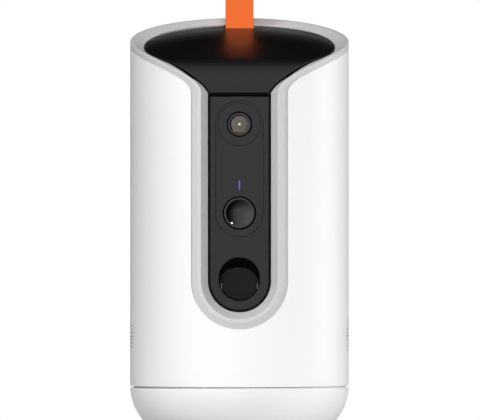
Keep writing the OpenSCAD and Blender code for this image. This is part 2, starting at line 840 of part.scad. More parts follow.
// Space above the sloping floors, widened by a distance
module funnel(grow, low) {
    intersection() {
        along_x(-body_r, body_r) polygon([
            [wheel_y - outlet_y - grow, low], [wheel_y - outlet_y - grow, neck_z],
            [-body_r, neck_z + (body_r + wheel_y - outlet_y - grow) * tan(60)], [-body_r, body_h + 60],
            [body_r, body_h + 60],
            [body_r, neck_z + (body_r - wheel_y - outlet_y - grow) * tan(hopper_slope)],
            [wheel_y + outlet_y + grow, neck_z], [wheel_y + outlet_y + grow, low]]);
        along_y(-body_r, body_r) polygon([
            [-outlet_x - grow, low], [-outlet_x - grow, neck_z],
            [-body_r, neck_z + body_r - outlet_x - grow],
            [-body_r, body_h + 60], [body_r, body_h + 60], [body_r, neck_z + body_r - outlet_x - grow],
            [outlet_x + grow, neck_z], [outlet_x + grow, low]]);
    }
}

module treat_hopper() {
    notch = strap_w / 2 + 4;
    color("#3a3a3a") difference() {
        union() {
            intersection() {
                upright(neck_low, body_h) hopper_plan(0);
                funnel(hopper_wall, neck_low);
                union() under_lid(rim_high);
            }
            intersection() {
                translate([0, 0, panel_top + 0.1]) cylinder(r = lid_r - 0.1, h = body_h);
                lid_layer(rim_high, rim_low);
            }
        }
        intersection() {
            upright(neck_low - 1, body_h + 10) hopper_plan(hopper_wall);
            funnel(0, neck_low - 1);
        }
        block([-notch, strap_y - 3.4, panel_top], [notch, body_r, body_h + 10]);
    }
}

module lug(x_from, x_to, r, dir) {
    rod_x(r, x_from, x_to, wheel_y + lug_at * cos(dir), wheel_z + lug_at * sin(dir));
}

module wheel_housing() {
    color("#444444") difference() {
        union() {
            rod_x(drum_out, -drum_x - drum_wall, drum_x, wheel_y, wheel_z);
            block([-drum_x - drum_wall, wheel_y - 7, deck_top], [drum_x, wheel_y + 7, wheel_z]);
            for (dir = lug_dirs) lug(drum_x - 8, drum_x, 3.5, dir);
        }
        rod_x(drum_r, -drum_x, drum_x + 1, wheel_y, wheel_z);
        rod_x(bush_r, -drum_x - drum_wall - 1, 0, wheel_y, wheel_z);
        rod_y(flap_r - 1, wheel_y - drum_out - 5, wheel_y, 0, wheel_z);
        block([-outlet_x - hopper_wall - 0.25, wheel_y - outlet_y - hopper_wall - 0.25, wheel_z + 8],
              [outlet_x + hopper_wall + 0.25, wheel_y + outlet_y + hopper_wall + 0.25, body_h]);
        for (dir = lug_dirs) lug(drum_x - 7, drum_x + 1, 1.1, dir);
        for (x = [-10, 10]) translate([x, wheel_y, deck_top - 1]) cylinder(r = 1.2, h = 10);
    }
}

module housing_screws() {
    color("gray") for (x = [-10, 10]) screw_z(x, wheel_y, 2.4, 1.6, deck_low, deck_top + 8, 1.2);
}

module toss_wheel() {
    half = drum_x - 0.8;
    color("darkorange") difference() {
        union() {
            rod_x(shaft_r + 3, -half, half, wheel_y, wheel_z);
            for (k = [0 : paddles - 1])
                translate([0, wheel_y, wheel_z]) rotate([360 * k / paddles + 45, 0, 0])
                    block([-half, shaft_r + 1.5, -paddle_t / 2], [half, wheel_r, paddle_t / 2]);
        }
        rod_x(shaft_r, -half - 1, half + 1, wheel_y, wheel_z);
    }
}

module wheel_shaft() {
    color("lightgray") rod_x(shaft_r, -drum_x - drum_wall - 2, gear_end + 1.5, wheel_y, wheel_z);
}

module bush_left() {
    color("goldenrod") difference() {
        union() {
            rod_x(bush_r, -drum_x - drum_wall, -drum_x, wheel_y, wheel_z);
            rod_x(bush_r + 1.5, -drum_x - drum_wall - 1, -drum_x - drum_wall, wheel_y, wheel_z);
        }
        rod_x(shaft_r + run_gap, -drum_x - 6, 0, wheel_y, wheel_z);
    }
}

module bush_right() {
    color("goldenrod") difference() {
        union() {
            rod_x(bush_r, drum_x, plate_x, wheel_y, wheel_z);
            rod_x(bush_r + 1.5, plate_x, plate_x + 0.7, wheel_y, wheel_z);
        }
        rod_x(shaft_r + run_gap, drum_x - 1, plate_x + 2, wheel_y, wheel_z);
    }
}

// Drive train

// Point of an involute flank at radius r on a base circle, with the tooth's centre at angle 0
function flank(r, base, half) = let (a = acos(min(1, base / r)), inv = tan(a) * 180 / PI - a)
    r * [cos(half - inv), sin(half - inv)];

// Outline of a gear with involute teeth, its first tooth centred on the angle given
module gear_2d(teeth, start) {
    pitch = gear_m * teeth / 2;
    base = pitch * cos(20);
    top = pitch + 0.8 * gear_m;
    root = pitch - 1.15 * gear_m;
    half = (90 - backlash / 2 / gear_m * 180 / PI) / teeth + tan(20) * 180 / PI - 20;
    first = max(base, root);
    steps = 6;
    side = [for (k = [0 : steps]) flank(first + (top - first) * k / steps, base, half)];
    foot = root * [cos(half), sin(half)];
    tooth = concat([[foot[0], -foot[1]]], [for (p = side) [p[0], -p[1]]],
                   [for (k = [steps : -1 : 0]) side[k]], [foot]);
    polygon([for (k = [0 : teeth - 1], p = tooth) let (a = start + 360 * k / teeth)
        [p[0] * cos(a) - p[1] * sin(a), p[0] * sin(a) + p[1] * cos(a)]]);
}

// A gear on the line of a shaft along X
module gear(teeth, start, y, z, bore) {
    translate([0, y, z]) along_x(gear_x, gear_end) difference() {
        gear_2d(teeth, start);
        circle(bore);
    }
}

// The wheel gear shows a tooth to the idler, the idler a gap to the wheel gear, and the pinion fits it
idler_start = idler_dir + 180 + 180 / idler_teeth;
idler_off = (pinion_dir - idler_start) / (360 / idler_teeth);
pinion_start = pinion_dir + 180 + (idler_off + 0.5) * 360 / pinion_teeth;

module wheel_gear() {
    color("ivory") gear(wheel_teeth, idler_dir, wheel_y, wheel_z, shaft_r);
}

module idler_gear() {
    color("ivory") gear(idler_teeth, idler_start, idler_y, idler_z, idler_pin_r + run_gap);
}

module idler_pin() {
    color("lightgray") {
        rod_x(idler_pin_r, drum_x, gear_end + 1, idler_y, idler_z);
        rod_x(idler_pin_r + 1, plate_x, gear_x - 0.3, idler_y, idler_z);
        rod_x(idler_pin_r + 1, gear_end + 0.3, gear_end + 1.2, idler_y, idler_z);
    }
}

module motor_pinion() {
    color("ivory") gear(pinion_teeth, pinion_start, motor_y, motor_z, motor_shaft_r);
}

module motor_shaft() {
    color("lightgray") rod_x(motor_shaft_r, drum_x - 8, gear_end, motor_y, motor_z);
}

module drive_motor() {
    color("silver") difference() {
        union() {
            rod_x(motor_r, drum_x - motor_l, drum_x, motor_y, motor_z);
            rod_x(4, drum_x - 1, plate_x, motor_y, motor_z);
        }
        rod_x(motor_shaft_r + run_gap, drum_x - 8.3, plate_x + 1, motor_y, motor_z);
        motor_holes(drum_x - 5, drum_x + 1, 1.2);
    }
}

module motor_holes(from, to, r) {
    for (side = [-1, 1]) rod_x(r, from, to, motor_y + side * motor_screw_at * cos(pinion_dir + 90),
                               motor_z + side * motor_screw_at * sin(pinion_dir + 90));
}

module gear_plate() {
    dy = motor_y - wheel_y;
    dz = motor_z - wheel_z;
    span = norm([dy, dz]);
    across = [-dz, dy] / span;
    color("#555555") difference() {
        union() {
            rod_x(drum_out, drum_x, plate_x, wheel_y, wheel_z);
            rod_x(motor_r + 0.6, drum_x, plate_x, motor_y, motor_z);
            translate([0, wheel_y, wheel_z]) along_x(drum_x, plate_x)
                polygon([across * 22, across * 11 + [dy, dz], -across * 11 + [dy, dz], -across * 22]);
            for (dir = lug_dirs) lug(drum_x, plate_x, 4, dir);
            for (dir = lug_dirs) let (out = [cos(dir), sin(dir)], side = 3 * [-sin(dir), cos(dir)])
                translate([0, wheel_y, wheel_z]) along_x(drum_x, plate_x)
                    polygon([drum_r * out - side, lug_at * out - side,
                             lug_at * out + side, drum_r * out + side]);
        }
        rod_x(bush_r, drum_x - 1, plate_x + 1, wheel_y, wheel_z);
        rod_x(idler_pin_r, drum_x - 1, plate_x + 1, idler_y, idler_z);
        rod_x(4.1, drum_x - 1, plate_x + 1, motor_y, motor_z);
        motor_holes(drum_x - 1, plate_x + 1, 1.3);
        for (dir = lug_dirs) lug(drum_x - 1, plate_x + 1, 1.3, dir);
    }
}

module plate_screws() {
    color("gray") for (dir = lug_dirs) {
        lug(plate_x, plate_x + 1.4, 2.1, dir);
        lug(drum_x - 6, plate_x + eps, 1.1, dir);
    }
}

module motor_screws() {
    color("gray") {
        motor_holes(plate_x, plate_x + 1, 2);
        motor_holes(drum_x - 4, plate_x + eps, 1.2);
    }
}

// Chassis and electronics

// Plan of the chassis tower, set in by the wall
module tower_plan(inset) {
    intersection() {
        circle(lid_r - inset);
        translate([-body_r, chassis_y + inset]) square([body_d, body_d]);
    }
}

module chassis() {
    color("#222222") difference() {
        union() {
            upright(deck_low, deck_top) circle(deck_r);
            intersection() {
                upright(deck_top - eps, body_h) difference() {
                    tower_plan(0);
                    tower_plan(chassis_wall);
                }
                union() {
                    under_lid(rim_low + 0.05);
                    block([-body_r, -body_r, deck_low], [body_r, body_r, panel_top - 0.2]);
                }
                difference() {
                    block([-body_r, -body_r, deck_low], [body_r, body_r, body_h]);
                    for (side = [-1, 1])
                        block([side * (body_r - 10) - 10, -24, deck_top],
                              [side * (body_r - 10) + 10, 24, grille_z + 24]);
                }
            }
            block([speaker_x, -24.6, deck_top - eps], [speaker_face, 24.6, grille_z + 24.4]);
            for (x = [-1, 1], z = [-1, 1])
                rod_y(2.3, inner_y - eps, camera_board_y, x * camera_post, lens_z + z * camera_post);
            for (p = button_posts) rod_y(2.2, inner_y - eps, button_board_y, p[0], p[1]);
        }
        rod_y(barrel_r + 0.4, chassis_y - 1, inner_y + 1, 0, lens_z);
        rod_y(button_r + 0.4, chassis_y - 1, inner_y + 1, 0, button_z);
        rod_y(spout_r + 0.1, chassis_y - 1, inner_y + 1, 0, spout_z);
        led_slot();
        for (p = panel_screw_at) rod_y(1, chassis_y - 1, inner_y + 1, p[0], p[1]);
        for (x = [-1, 1]) rod_y(0.9, chassis_y + 0.3, inner_y + 1, x * spout_screw_x, spout_z);
        for (x = [-1, 1], z = [-1, 1]) rod_y(0.9, camera_board_y - 4.4, camera_board_y + 1, x * camera_post,
            lens_z + z * camera_post);
        for (p = button_posts) rod_y(0.9, button_board_y - 3.8, button_board_y + 1, p[0], p[1]);
        for (x = [-1, 1], y = [-1, 1]) translate([x * post_xy, y * post_xy, 0])
            cylinder(r = 1.5, h = deck_top + 1);
        for (x = [-10, 10]) translate([x, wheel_y, 0]) cylinder(r = 1.3, h = deck_top + 1);
        translate([0, 34, 0]) cylinder(r = 7, h = deck_top + 1);
        rod_x(speaker_r + 0.3, speaker_x - 1, speaker_face + 1, 0, grille_z);
    }
}

module main_board() {
    color("darkgreen") difference() {
        upright(board_z, board_z + board_t) {
            translate([-board_half, -board_half]) square([2 * board_half, 2 * board_half + 4]);
            translate([-9, board_half]) square([18, inlet_mouth - 6.1 - board_half]);
        }
        for (x = [-1, 1], y = [-1, 1]) translate([x * post_xy, y * post_xy, 0])
            cylinder(r = post_r + 0.4, h = 30);
        for (p = board_posts) translate([p[0], p[1], 0]) cylinder(r = 1.2, h = 30);
    }
}

module processor_shield() {
    color("lightgray") block([-9, -12, board_z + board_t], [9, 8, board_z + board_t + 2.6]);
}

module power_inlet() {
    color("gray") difference() {
        block([-4.6, inlet_mouth - inlet_l, inlet_z - 1.65], [4.6, inlet_mouth, inlet_z + 1.65]);
        translate([0, 0, inlet_z]) along_y(inlet_mouth - 6, inlet_mouth + 1) difference() {
            union() {
                square([5.8, 2.5], center = true);
                for (x = [-2.9, 2.9]) translate([x, 0]) circle(1.25);
            }
            square([6.4, 0.7], center = true);
        }
    }
}

module board_screws() {
    color("gray") for (p = board_posts) {
        translate([p[0], p[1], board_z + board_t]) cylinder(r = 2, h = 1.3);
        translate([p[0], p[1], board_z - 3]) cylinder(r = 1, h = board_t + 3 + eps);
    }
}

module speaker_basket() {
    color("dimgray") difference() {
        union() {
            rod_x(speaker_r, speaker_x - 6, speaker_face + eps, 0, grille_z);
            rod_x(speaker_r + 3, speaker_face, speaker_face + 1.5, 0, grille_z);
        }
        rod_x(speaker_r - 1.4, speaker_x - 4.6, speaker_face + 2, 0, grille_z);
    }
}

module speaker_cone() {
    r = speaker_r - 1.5;
    color("#3c3c3c") translate([speaker_x - 4.6, 0, grille_z]) rotate([0, 90, 0]) rotate_extrude()
        polygon([[0, 0], [5, 0], [r, 5], [r, 5.6], [r - 1, 5.8], [5.4, 1.2], [4, 2.6], [0, 3.4]]);
}

module speaker_magnet() {
    color("gray") rod_x(10.5, speaker_x - 12, speaker_x - 6, 0, grille_z);
}

outer_shell();
trim_bezel();
base_bowl();
foot_ring();
base_screws();
grille_right();
grille_left();
front_panel();
sensor_window();
camera_bezel();
lens_barrel();
lens_glass();
lens_holder();
camera_board();
camera_screws();
led_pipe();
led_chip();
front_button();
switch_plunger();
push_switch();
button_board();
button_screws();
panel_screws();
treat_spout();
spout_screws();
treat_flap();
flap_pin();
lid_cover();
lid_gasket();
pull_strap();
strap_pin();
treat_hopper();
wheel_housing();
housing_screws();
toss_wheel();
wheel_shaft();
bush_left();
bush_right();
wheel_gear();
idler_gear();
idler_pin();
motor_pinion();
motor_shaft();
drive_motor();
gear_plate();
plate_screws();
motor_screws();
chassis();
main_board();
processor_shield();
power_inlet();
board_screws();
speaker_basket();
speaker_cone();
speaker_magnet();
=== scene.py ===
"""Looks of a treat-tossing pet camera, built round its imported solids.

Sizes are in millimetres, in the frame of the solids, and become metres when a mesh is made.
"""

import json
from math import acos, asin, atan2, cos, degrees, hypot, pi, radians, sin, sqrt, tan

import bmesh
import bpy
from mathutils import Matrix, Vector


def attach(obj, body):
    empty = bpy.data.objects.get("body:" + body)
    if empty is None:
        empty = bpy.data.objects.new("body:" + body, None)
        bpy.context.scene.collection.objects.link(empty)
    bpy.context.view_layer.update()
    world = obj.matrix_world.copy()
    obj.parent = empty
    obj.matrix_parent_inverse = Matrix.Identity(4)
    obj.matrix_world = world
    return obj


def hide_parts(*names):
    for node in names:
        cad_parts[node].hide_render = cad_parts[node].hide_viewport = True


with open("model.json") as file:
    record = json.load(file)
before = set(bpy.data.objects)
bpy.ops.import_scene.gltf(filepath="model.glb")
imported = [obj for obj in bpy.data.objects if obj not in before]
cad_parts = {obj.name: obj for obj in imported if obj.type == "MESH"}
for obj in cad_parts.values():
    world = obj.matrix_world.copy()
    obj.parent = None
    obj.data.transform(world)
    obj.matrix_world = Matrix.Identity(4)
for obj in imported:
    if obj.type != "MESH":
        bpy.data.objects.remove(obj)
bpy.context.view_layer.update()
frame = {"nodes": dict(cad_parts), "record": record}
nodes = frame["nodes"]

MM = 0.001
MICRON = 0.000001
QUARTER = pi / 2

# Softened edges: share of the middle line, and the most that is taken of a side
ROUND_SHARE = 0.3
SOFT_SHARE = 0.45

# Body wall, seam and grilles
BODY_R = 60.0
BODY_H = 230.4
WALL = 3.0
WALL_ROWS = 10
SEAM_LOW = 27.2
SEAM_HIGH = 28.2
SEAM_R = 58.0
SEAM_SOFT = 0.4
GRILLE_Z = 55.6
GRILLE_R = 9.3
GRILLE_HALF = 5.8
GRILLE_IN = BODY_R - WALL - 2.0
GRILLE_OUT = BODY_R + 3.0

# Base bowl with its upstand, foot groove, screw posts and inlet
BASE_ROUND = 29.6
BASE_MID = 28.5
BASE_SOFT = ((0.15, 0.12), (0.45, 0.0))
FLOOR_LOW = 1.5
FLOOR_TOP = 4.5
STEP_TOP = SEAM_HIGH - 0.15
UPSTAND_R = 56.8
UPSTAND_IN = 54.6
UPSTAND_LOW = 23.2
UPSTAND_TOP = 30.6
FOOT_IN = 30.9
FOOT_OUT = 40.1
FOOT_TOP = 2.6
POST_XY = 18.8
POST_R = 4.2
POST_LOW = FLOOR_LOW + 0.02
POST_STEP = 16.0
POST_TOP = 30.0
HEAD_R = 3.0
SHANK_R = 1.7
WELL_R = 3.6
WELL_H = 6.0
INLET_Z = 12.25
INLET_R = 3.5
INLET_HALF = 4.0
INLET_IN = 42.6
INLET_OUT = 64.0

# Slanted rim and front opening, with half widths at the front
SLANT = radians(12.3)
SLOPE = tan(SLANT)
RIM_R = 52.6
RIM_DROP = 3.0
HALF_IN = 17.2
HALF_LAND = 21.1
HALF_EDGE = 23.0
HALF_OUT = 26.2
OPENING_Z = 86.3
TRIM_LAND = 1.9
TRIM_BAND = 3.0
TRIM_GAP = 0.25
TRIM_PLAY = 0.03
TRIM_STEP = 0.1
TRIM_FALL = 0.9
TRIM_SOFT = (0.15, 0.5, 0.6, 0.3, 0.1)
HALF_SHELL = HALF_OUT + TRIM_GAP
SHELL_DROP = TRIM_BAND + TRIM_GAP
SHELL_SOFT = 0.15
SWOOP_L = 55.0
SWOOP_H = 16.0
START_TURN = asin(HALF_EDGE / BODY_R)
SWOOP_END = START_TURN + SWOOP_L / BODY_R
EDGE_RISE = 0.3
SINK = 1.3
SINK_SIDE = 0.7
SINK_FROM = radians(20)
SINK_RISE = radians(22)
SINK_FULL = radians(60)
SINK_FADE = radians(60)
PANEL_Y = -sqrt(RIM_R**2 - HALF_IN**2)

# Steps along the low curve, the straight side, the swoop and the rim
SHELL_COUNTS = (36, WALL_ROWS, 64, 64)
TRIM_COUNTS = (40, 8, 72, 72)

# Lid with its crown, skirt and bend
LID_R = 52.1
LID_T = 2.6
LID_SOFT = 0.3
LID_FRONT_Z = 189.0
LID_PROUD = 0.4
BEND_R = 23.8
BEND_Y = PANEL_Y - LID_PROUD + BEND_R
BEND_TOP_Y = BEND_Y - BEND_R * sin(SLANT)
BEND_Z = BODY_H - RIM_DROP - (BODY_R - BEND_TOP_Y) * SLOPE - BEND_R * cos(SLANT)
LID_CROWN = 2.8
CROWN_Y = BEND_TOP_Y - 4.0
CROWN_FRONT = 1.3
CROWN_FALL = 0.6
HOPPER_R = 47.0
HOPPER_FRONT = -29.0
HOPPER_BACK = 39.5
SKIRT_OUT = 2.4
SKIRT_IN = 4.2
SKIRT_TOP = LID_T - 0.4
SKIRT_DEPTH = 8.6
SKIRT_SOFT = 0.3

# Strap with its pin and its pocket in the lid
STRAP_W = 15.4
STRAP_T = 1.5
STRAP_Y = 45.7
STRAP_LOOP_R = 5.5
STRAP_RISE = 29.0
STRAP_SOFT = 0.5
STRAP_BOW = 0.3
PIN_R = 1.15
PIN_DEPTH = 3.1
PIN_Y = STRAP_Y + STRAP_T + PIN_R
PIN_Z = BODY_H - RIM_DROP - (BODY_R - PIN_Y) * SLOPE - PIN_DEPTH
SLOT_HALF = STRAP_W / 2 + 0.4
NOTCH_Y = STRAP_Y - 0.9
NOTCH_TOP = BODY_H + 20.0
POCKET_Y = STRAP_Y - 3.0
POCKET_HALF = SLOT_HALF + 2.8
POCKET_BACK = sqrt(LID_R**2 - POCKET_HALF**2) - 0.2
POCKET_TOP = 2.0
POCKET_LOW = 6.3

# Front panel with its inlay, ledge and lip
PANEL_BACK = PANEL_Y + 2.6
INNER_Y = PANEL_BACK + 2.2
PANEL_TOP = 186.9
PANEL_RISE = PANEL_TOP - OPENING_Z
PANEL_SOFT = 0.3
HALF_PANEL = HALF_IN - 1.15
LEDGE_Y = PANEL_Y + 0.7
LEDGE_OUT = HALF_IN - 0.2
LEDGE_IN = HALF_PANEL + 0.35
LIP_LOW = PANEL_TOP + 0.85
LIP_TOP = LIP_LOW + 0.6
BACKING_Y = PANEL_Y + 1.6
BACKING_LOW = PANEL_TOP - 0.6
THIN_SOFT = 0.1
WINDOW_R = 12.9
WINDOW_T = 1.0
INLAY_GAP = 0.18
INLAY_SOFT = 0.12
INLAY_FLOOR = PANEL_Y + WINDOW_T + 0.02
FLOOR_SOFT = 0.05

# Lens
LENS_Z = OPENING_Z + 0.85 * PANEL_RISE
BEZEL_R = 11.6
BARREL_R = 6.75
BARREL_HOLE = BARREL_R + 0.2
RING_R = BARREL_R - 0.4
RING_Y = PANEL_Y - 0.4
RING_SOFT = 0.3
RING_MOUTH = ((0.85, 0.0), (0.12, 0.45), (0.1, 0.8))
TUBE_R = 6.0
TUBE_IN = 3.2
TUBE_FRONT = INNER_Y + 0.9
TUBE_BACK = INNER_Y + 7.4
GLASS_R = 4.55
GLASS_PLAY = 0.05
GLASS_TIP = PANEL_Y - 0.2
GLASS_BACK = PANEL_Y + 2.7
GLASS_SEAT = PANEL_Y + 2.8
DOME_R = 5 * GLASS_R

# Light slit
LED_Z = OPENING_Z + 0.52 * PANEL_RISE
LED_L = 5.0
LED_W = 0.9
LED_HALF = (LED_L - LED_W) / 2
LED_PLAY = 0.05

# Button
BUTTON_Z = OPENING_Z + 0.368 * PANEL_RISE
BUTTON_Y = PANEL_Y - 0.35
BUTTON_R = 8.45
BUTTON_HOLE = BUTTON_R + 0.7
BUTTON_SOFT = 0.35
BUTTON_BEND = 0.1
BUTTON_DISH = 2.4
DISH_R = BUTTON_R - 1.05
DISH_OUT = DISH_R + 0.12
DISH_IN = DISH_R - 0.1
FLANGE_R = BUTTON_R + 1.4
FLANGE_FRONT = INNER_Y + 0.1
FLANGE_BACK = INNER_Y + 1.3

# Treat hole and flap
TREAT_Z = 87.1
TREAT_R = 11.1
TREAT_LOW = TREAT_Z - 0.75
TREAT_HIGH = TREAT_Z + 0.75
TREAT_SOFT = 0.5
FLAP_Z = 83.3
FLAP_R = 10.6
FLAP_LOW_R = TREAT_R - 0.2
FLAP_T = 1.3
FLAP_Y = PANEL_Y + 6.9
FLAP_SOFT = 0.3
FLAP_PIN_Z = FLAP_Z + FLAP_R + 0.9
TAB_HALF = 4.6
TAB_Y = FLAP_Y + 0.6
TAB_LOW = FLAP_Z + FLAP_R - 2
TAB_TOP = FLAP_PIN_Z - 1.1
KNUCKLE_R = 1.55
KNUCKLE_IN = 0.8
KNUCKLE_HALF = 5.1
KNUCKLE_SOFT = 0.15
# Ribs on the flap's sides; they and their light grey stand in for glints, a painted highlight
RIB_X = 9.85
RIB_W = 0.5
RIB_L = 2.8
RIB_FRONT = FLAP_Y - 0.4
RIB_BACK = FLAP_Y + 0.2
RIB_SOFT = 0.2

# Camera
FRAME_WIDE = 263.0
FRAME_MID = (0.3, -20.0, 124.8)
CAMERA_TILT = radians(0.35)
LENS_MM = 1400.0
SENSOR_MM = 36.0
CLIP_M = 100.0

# Studio, with lamps and the floor's fade in metres
WHITE = (1.0, 1.0, 1.0, 1.0)
AMBIENT = 0.15
LAMP_FAR = 1.6
LAMP_SIZE = (0.5, 0.5)
LAMP_AIM = 0.12
CARD_R = 650.0
CARD_LOW = 3
FLOOR_RINGS = (60, 150, 300, 480)
FLOOR_SIDES = 96
FADE_FROM = 0.12
FADE_TO = 0.4


# Mesh helpers


def lerp(a, b, t):
    return a + (b - a) * t


def steps(a, b, count):
    """Evenly spaced values from a to b, both included."""
    return [lerp(a, b, k / count) for k in range(count + 1)]


def ease(t):
    """Smooth step from 0 to 1."""
    t = min(1.0, max(0.0, t))
    return t * t * (3 - 2 * t)


def pairs(loop):
    """Each item of a closed loop with the next one."""
    return list(zip(loop, loop[1:] + loop[:1]))


def arc(x, y, r, start, end, count):
    """Points of a circular arc, with angles in degrees."""
    turns = [radians(a) for a in steps(start, end, count)]
    return [(x + r * cos(a), y + r * sin(a)) for a in turns]


def circle(r, z, count=96):
    """Closed round outline on the middle line at a height."""
    return arc(0.0, z, r, 0, 360, count)[:-1]


def upright_slot(r, low, high, count):
    """Closed outline with round ends at two heights."""
    return arc(0.0, high, r, 0, 180, count) + arc(0.0, low, r, 180, 360, count)


def level_slot(r, z, half, count=32):
    """Closed outline with round ends to the left and the right."""
    return arc(half, z, r, -90, 90, count) + arc(-half, z, r, 90, 270, count)


def box_line(x0, y0, x1, y1):
    """Closed outline with four corners."""
    return [(x0, y0), (x1, y0), (x1, y1), (x0, y1)]


def rounding(r):
    """Distances of a softened edge's three lines from its two sides."""
    return [(r, 0.0), (ROUND_SHARE * r, ROUND_SHARE * r), (0.0, r)]


class Shape:
    """Points and faces of a mesh, in millimetres, with marks for its materials."""

    def __init__(self):
        self.points = []
        self.faces = []
        self.marks = []

    def row(self, points):
        """Adds points and gives their numbers."""
        first = len(self.points)
        self.points += [Vector(p) for p in points]
        return list(range(first, len(self.points)))

    def face(self, corners, mark=0):
        self.faces.append(tuple(corners))
        self.marks.append(mark)

    def strip(self, a, b, closed=False, marks=None):
        """Four-cornered faces between two rows of the same length."""
        for i in range(len(a) if closed else len(a) - 1):
            j = (i + 1) % len(a)
            self.face((a[i], a[j], b[j], b[i]), marks[i] if marks else 0)

    def rows(self, rows, closed=False, around=False):
        """Faces between each row and the next, and if asked round to the first."""
        made = [self.row(r) for r in rows]
        for a, b in pairs(made) if around else zip(made, made[1:]):
            self.strip(a, b, closed)
        return made


def mesh_of(name, shape):
    """Mesh in metres with meeting points joined and all faces turned outwards."""
    mesh = bpy.data.meshes.new(name)
    mesh.from_pydata([p * MM for p in shape.points], [], shape.faces)
    mesh.polygons.foreach_set("material_index", shape.marks)
    bm = bmesh.new()
    bm.from_mesh(mesh)
    bmesh.ops.remove_doubles(bm, verts=bm.verts, dist=2e-7)
    bmesh.ops.dissolve_degenerate(bm, edges=bm.edges, dist=1e-8)
    bmesh.ops.recalc_face_normals(bm, faces=bm.faces)
    bm.to_mesh(mesh)
    bm.free()
    return mesh


def add_object(name, data):
    obj = bpy.data.objects.new(name, data)
    bpy.context.scene.collection.objects.link(obj)
    return obj


def solid(name, shape):
    """Object of a shape."""
    return add_object(name, mesh_of(name, shape))


def cut(obj, shapes):
    """Takes closed shapes out of an object."""
    for number, shape in enumerate(shapes):
        tool = add_object(f"{obj.name}_cut{number}", mesh_of("cut", shape))
        boolean = obj.modifiers.new("cut", "BOOLEAN")
        boolean.operation = "DIFFERENCE"
        boolean.solver = "EXACT"
        boolean.object = tool
        dressed = obj.evaluated_get(bpy.context.evaluated_depsgraph_get())
        mesh = bpy.data.meshes.new_from_object(dressed)
        obj.modifiers.clear()
        obj.data = mesh
        bpy.data.objects.remove(tool)


def finished(name, bm):
    """Object of a mesh that was being edited."""
    mesh = bpy.data.meshes.new(name)
    bm.to_mesh(mesh)
    bm.free()
    return add_object(name, mesh)


def joined(name, objects):
    """One object from several."""
    bm = bmesh.new()
    for obj in objects:
        bm.from_mesh(obj.data)
        bpy.data.objects.remove(obj)
    return finished(name, bm)


def marked(obj, mark):
    """Gives all faces of an object one of its materials."""
    obj.data.polygons.foreach_set("material_index", [mark] * len(obj.data.polygons))
    return obj


def dress(obj, looks, body, slot, stands_for, crease=32):
    """Smooths a piece, gives it its materials and sets it on its body in place of solids."""
    mesh = obj.data
    for look in looks:
        mesh.materials.append(MATERIALS[look])
    mesh.polygons.foreach_set("use_smooth", [True] * len(mesh.polygons))
    mesh.set_sharp_from_angle(angle=radians(crease))
    weigh = obj.modifiers.new("even shading", "WEIGHTED_NORMAL")
    weigh.keep_sharp = True
    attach(obj, body)
    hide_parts(*stands_for)


def about(axis, x=0.0, y=0.0, z=0.0):
    """Turning about an axis through a point."""

    def place(r, h, a):
        u, v = r * cos(a), r * sin(a)
        return {"x": (h, y + u, z + v), "y": (x + u, h, z + v), "z": (x + u, y + v, h)}[axis]

    return place


def spun(profile, place, count, closed=False):
    """Shape of a profile of radii and heights, turned about an axis."""
    shape = Shape()
    turns = [2 * pi * k / count for k in range(count)]
    rows = [[place(r, h, a) for a in turns] for r, h in profile]
    shape.rows(rows, closed=True, around=closed)
    return shape


def along_x(u, v, far):
    return (far, u, v)


def along_y(u, v, far):
    return (u, far, v)


def prism(outline, place, start, end):
    """Closed solid of an outline, drawn along an axis."""
    shape = Shape()
    rows = [[place(u, v, far) for u, v in outline] for far in (start, end)]
    for end_row in shape.rows(rows, closed=True):
        shape.face(end_row)
    return shape


def block(low, high):
    """Box between two corners."""
    (x0, y0, z0), (x1, y1, z1) = low, high
    return prism(box_line(y0, z0, y1, z1), along_x, x0, x1)


# Curves of the rim, the swoops and the front opening


def rim_plane(y):
    """Height of the rim's slanted top edge."""
    return BODY_H - (BODY_R - y) * SLOPE


def lid_surface(y):
    """Height of the lid's top, on the slant or on the bend before it."""
    if y > BEND_TOP_Y:
        return rim_plane(y) - RIM_DROP
    return BEND_Z + sqrt(max(0.0, BEND_R**2 - (y - BEND_Y) ** 2))


def trim_stations(low, straight, swoop, rim):
    """Stations along one half of the trim, from the opening's bottom to the rim's back."""
    made = [("low", QUARTER * k / low) for k in range(low + 1)]
    made += [("straight", k / straight) for k in range(1, straight)]
    made += [("swoop", QUARTER * k / swoop) for k in range(swoop + 1)]
    made += [("rim", lerp(SWOOP_END, pi, k / rim)) for k in range(1, rim + 1)]
    return made


def rim_share(station):
    """Share of the rim's radial direction in a cross-section."""
    kind, t = station
    if kind == "swoop":
        return sin(t) ** 2
    return 1.0 if kind == "rim" else 0.0


def on_wall(r, turn, z):
    """Point at a radius, turned away from the front."""
    return Vector((r * sin(turn), -r * cos(turn), z))


def turn_of(station, half):
    """Turn of a station on the swoop or the rim, for an edge with a half width at the front."""
    kind, t = station
    if kind == "rim":
        return t
    return SWOOP_END - (SWOOP_END - asin(half / BODY_R)) * cos(t)


def edge(station, half, drop, inset=0.0):
    """Point of an edge on the wall, by its half width at the front and its drop below the rim."""
    kind, t = station
    if kind == "low":
        x = half * sin(t)
        return Vector((x, -sqrt(BODY_R**2 - x * x), OPENING_Z - half * cos(t)))
    if kind == "straight":
        low = edge(("low", QUARTER), half, drop, inset)
        return low.lerp(edge(("swoop", 0.0), half, drop, inset), t)
    turn = turn_of(station, half)
    r = BODY_R - inset * rim_share(station)
    fall = drop if kind == "rim" else SWOOP_H - (SWOOP_H - drop) * sin(t)
    return on_wall(r, turn, rim_plane(-r * cos(turn)) - fall)


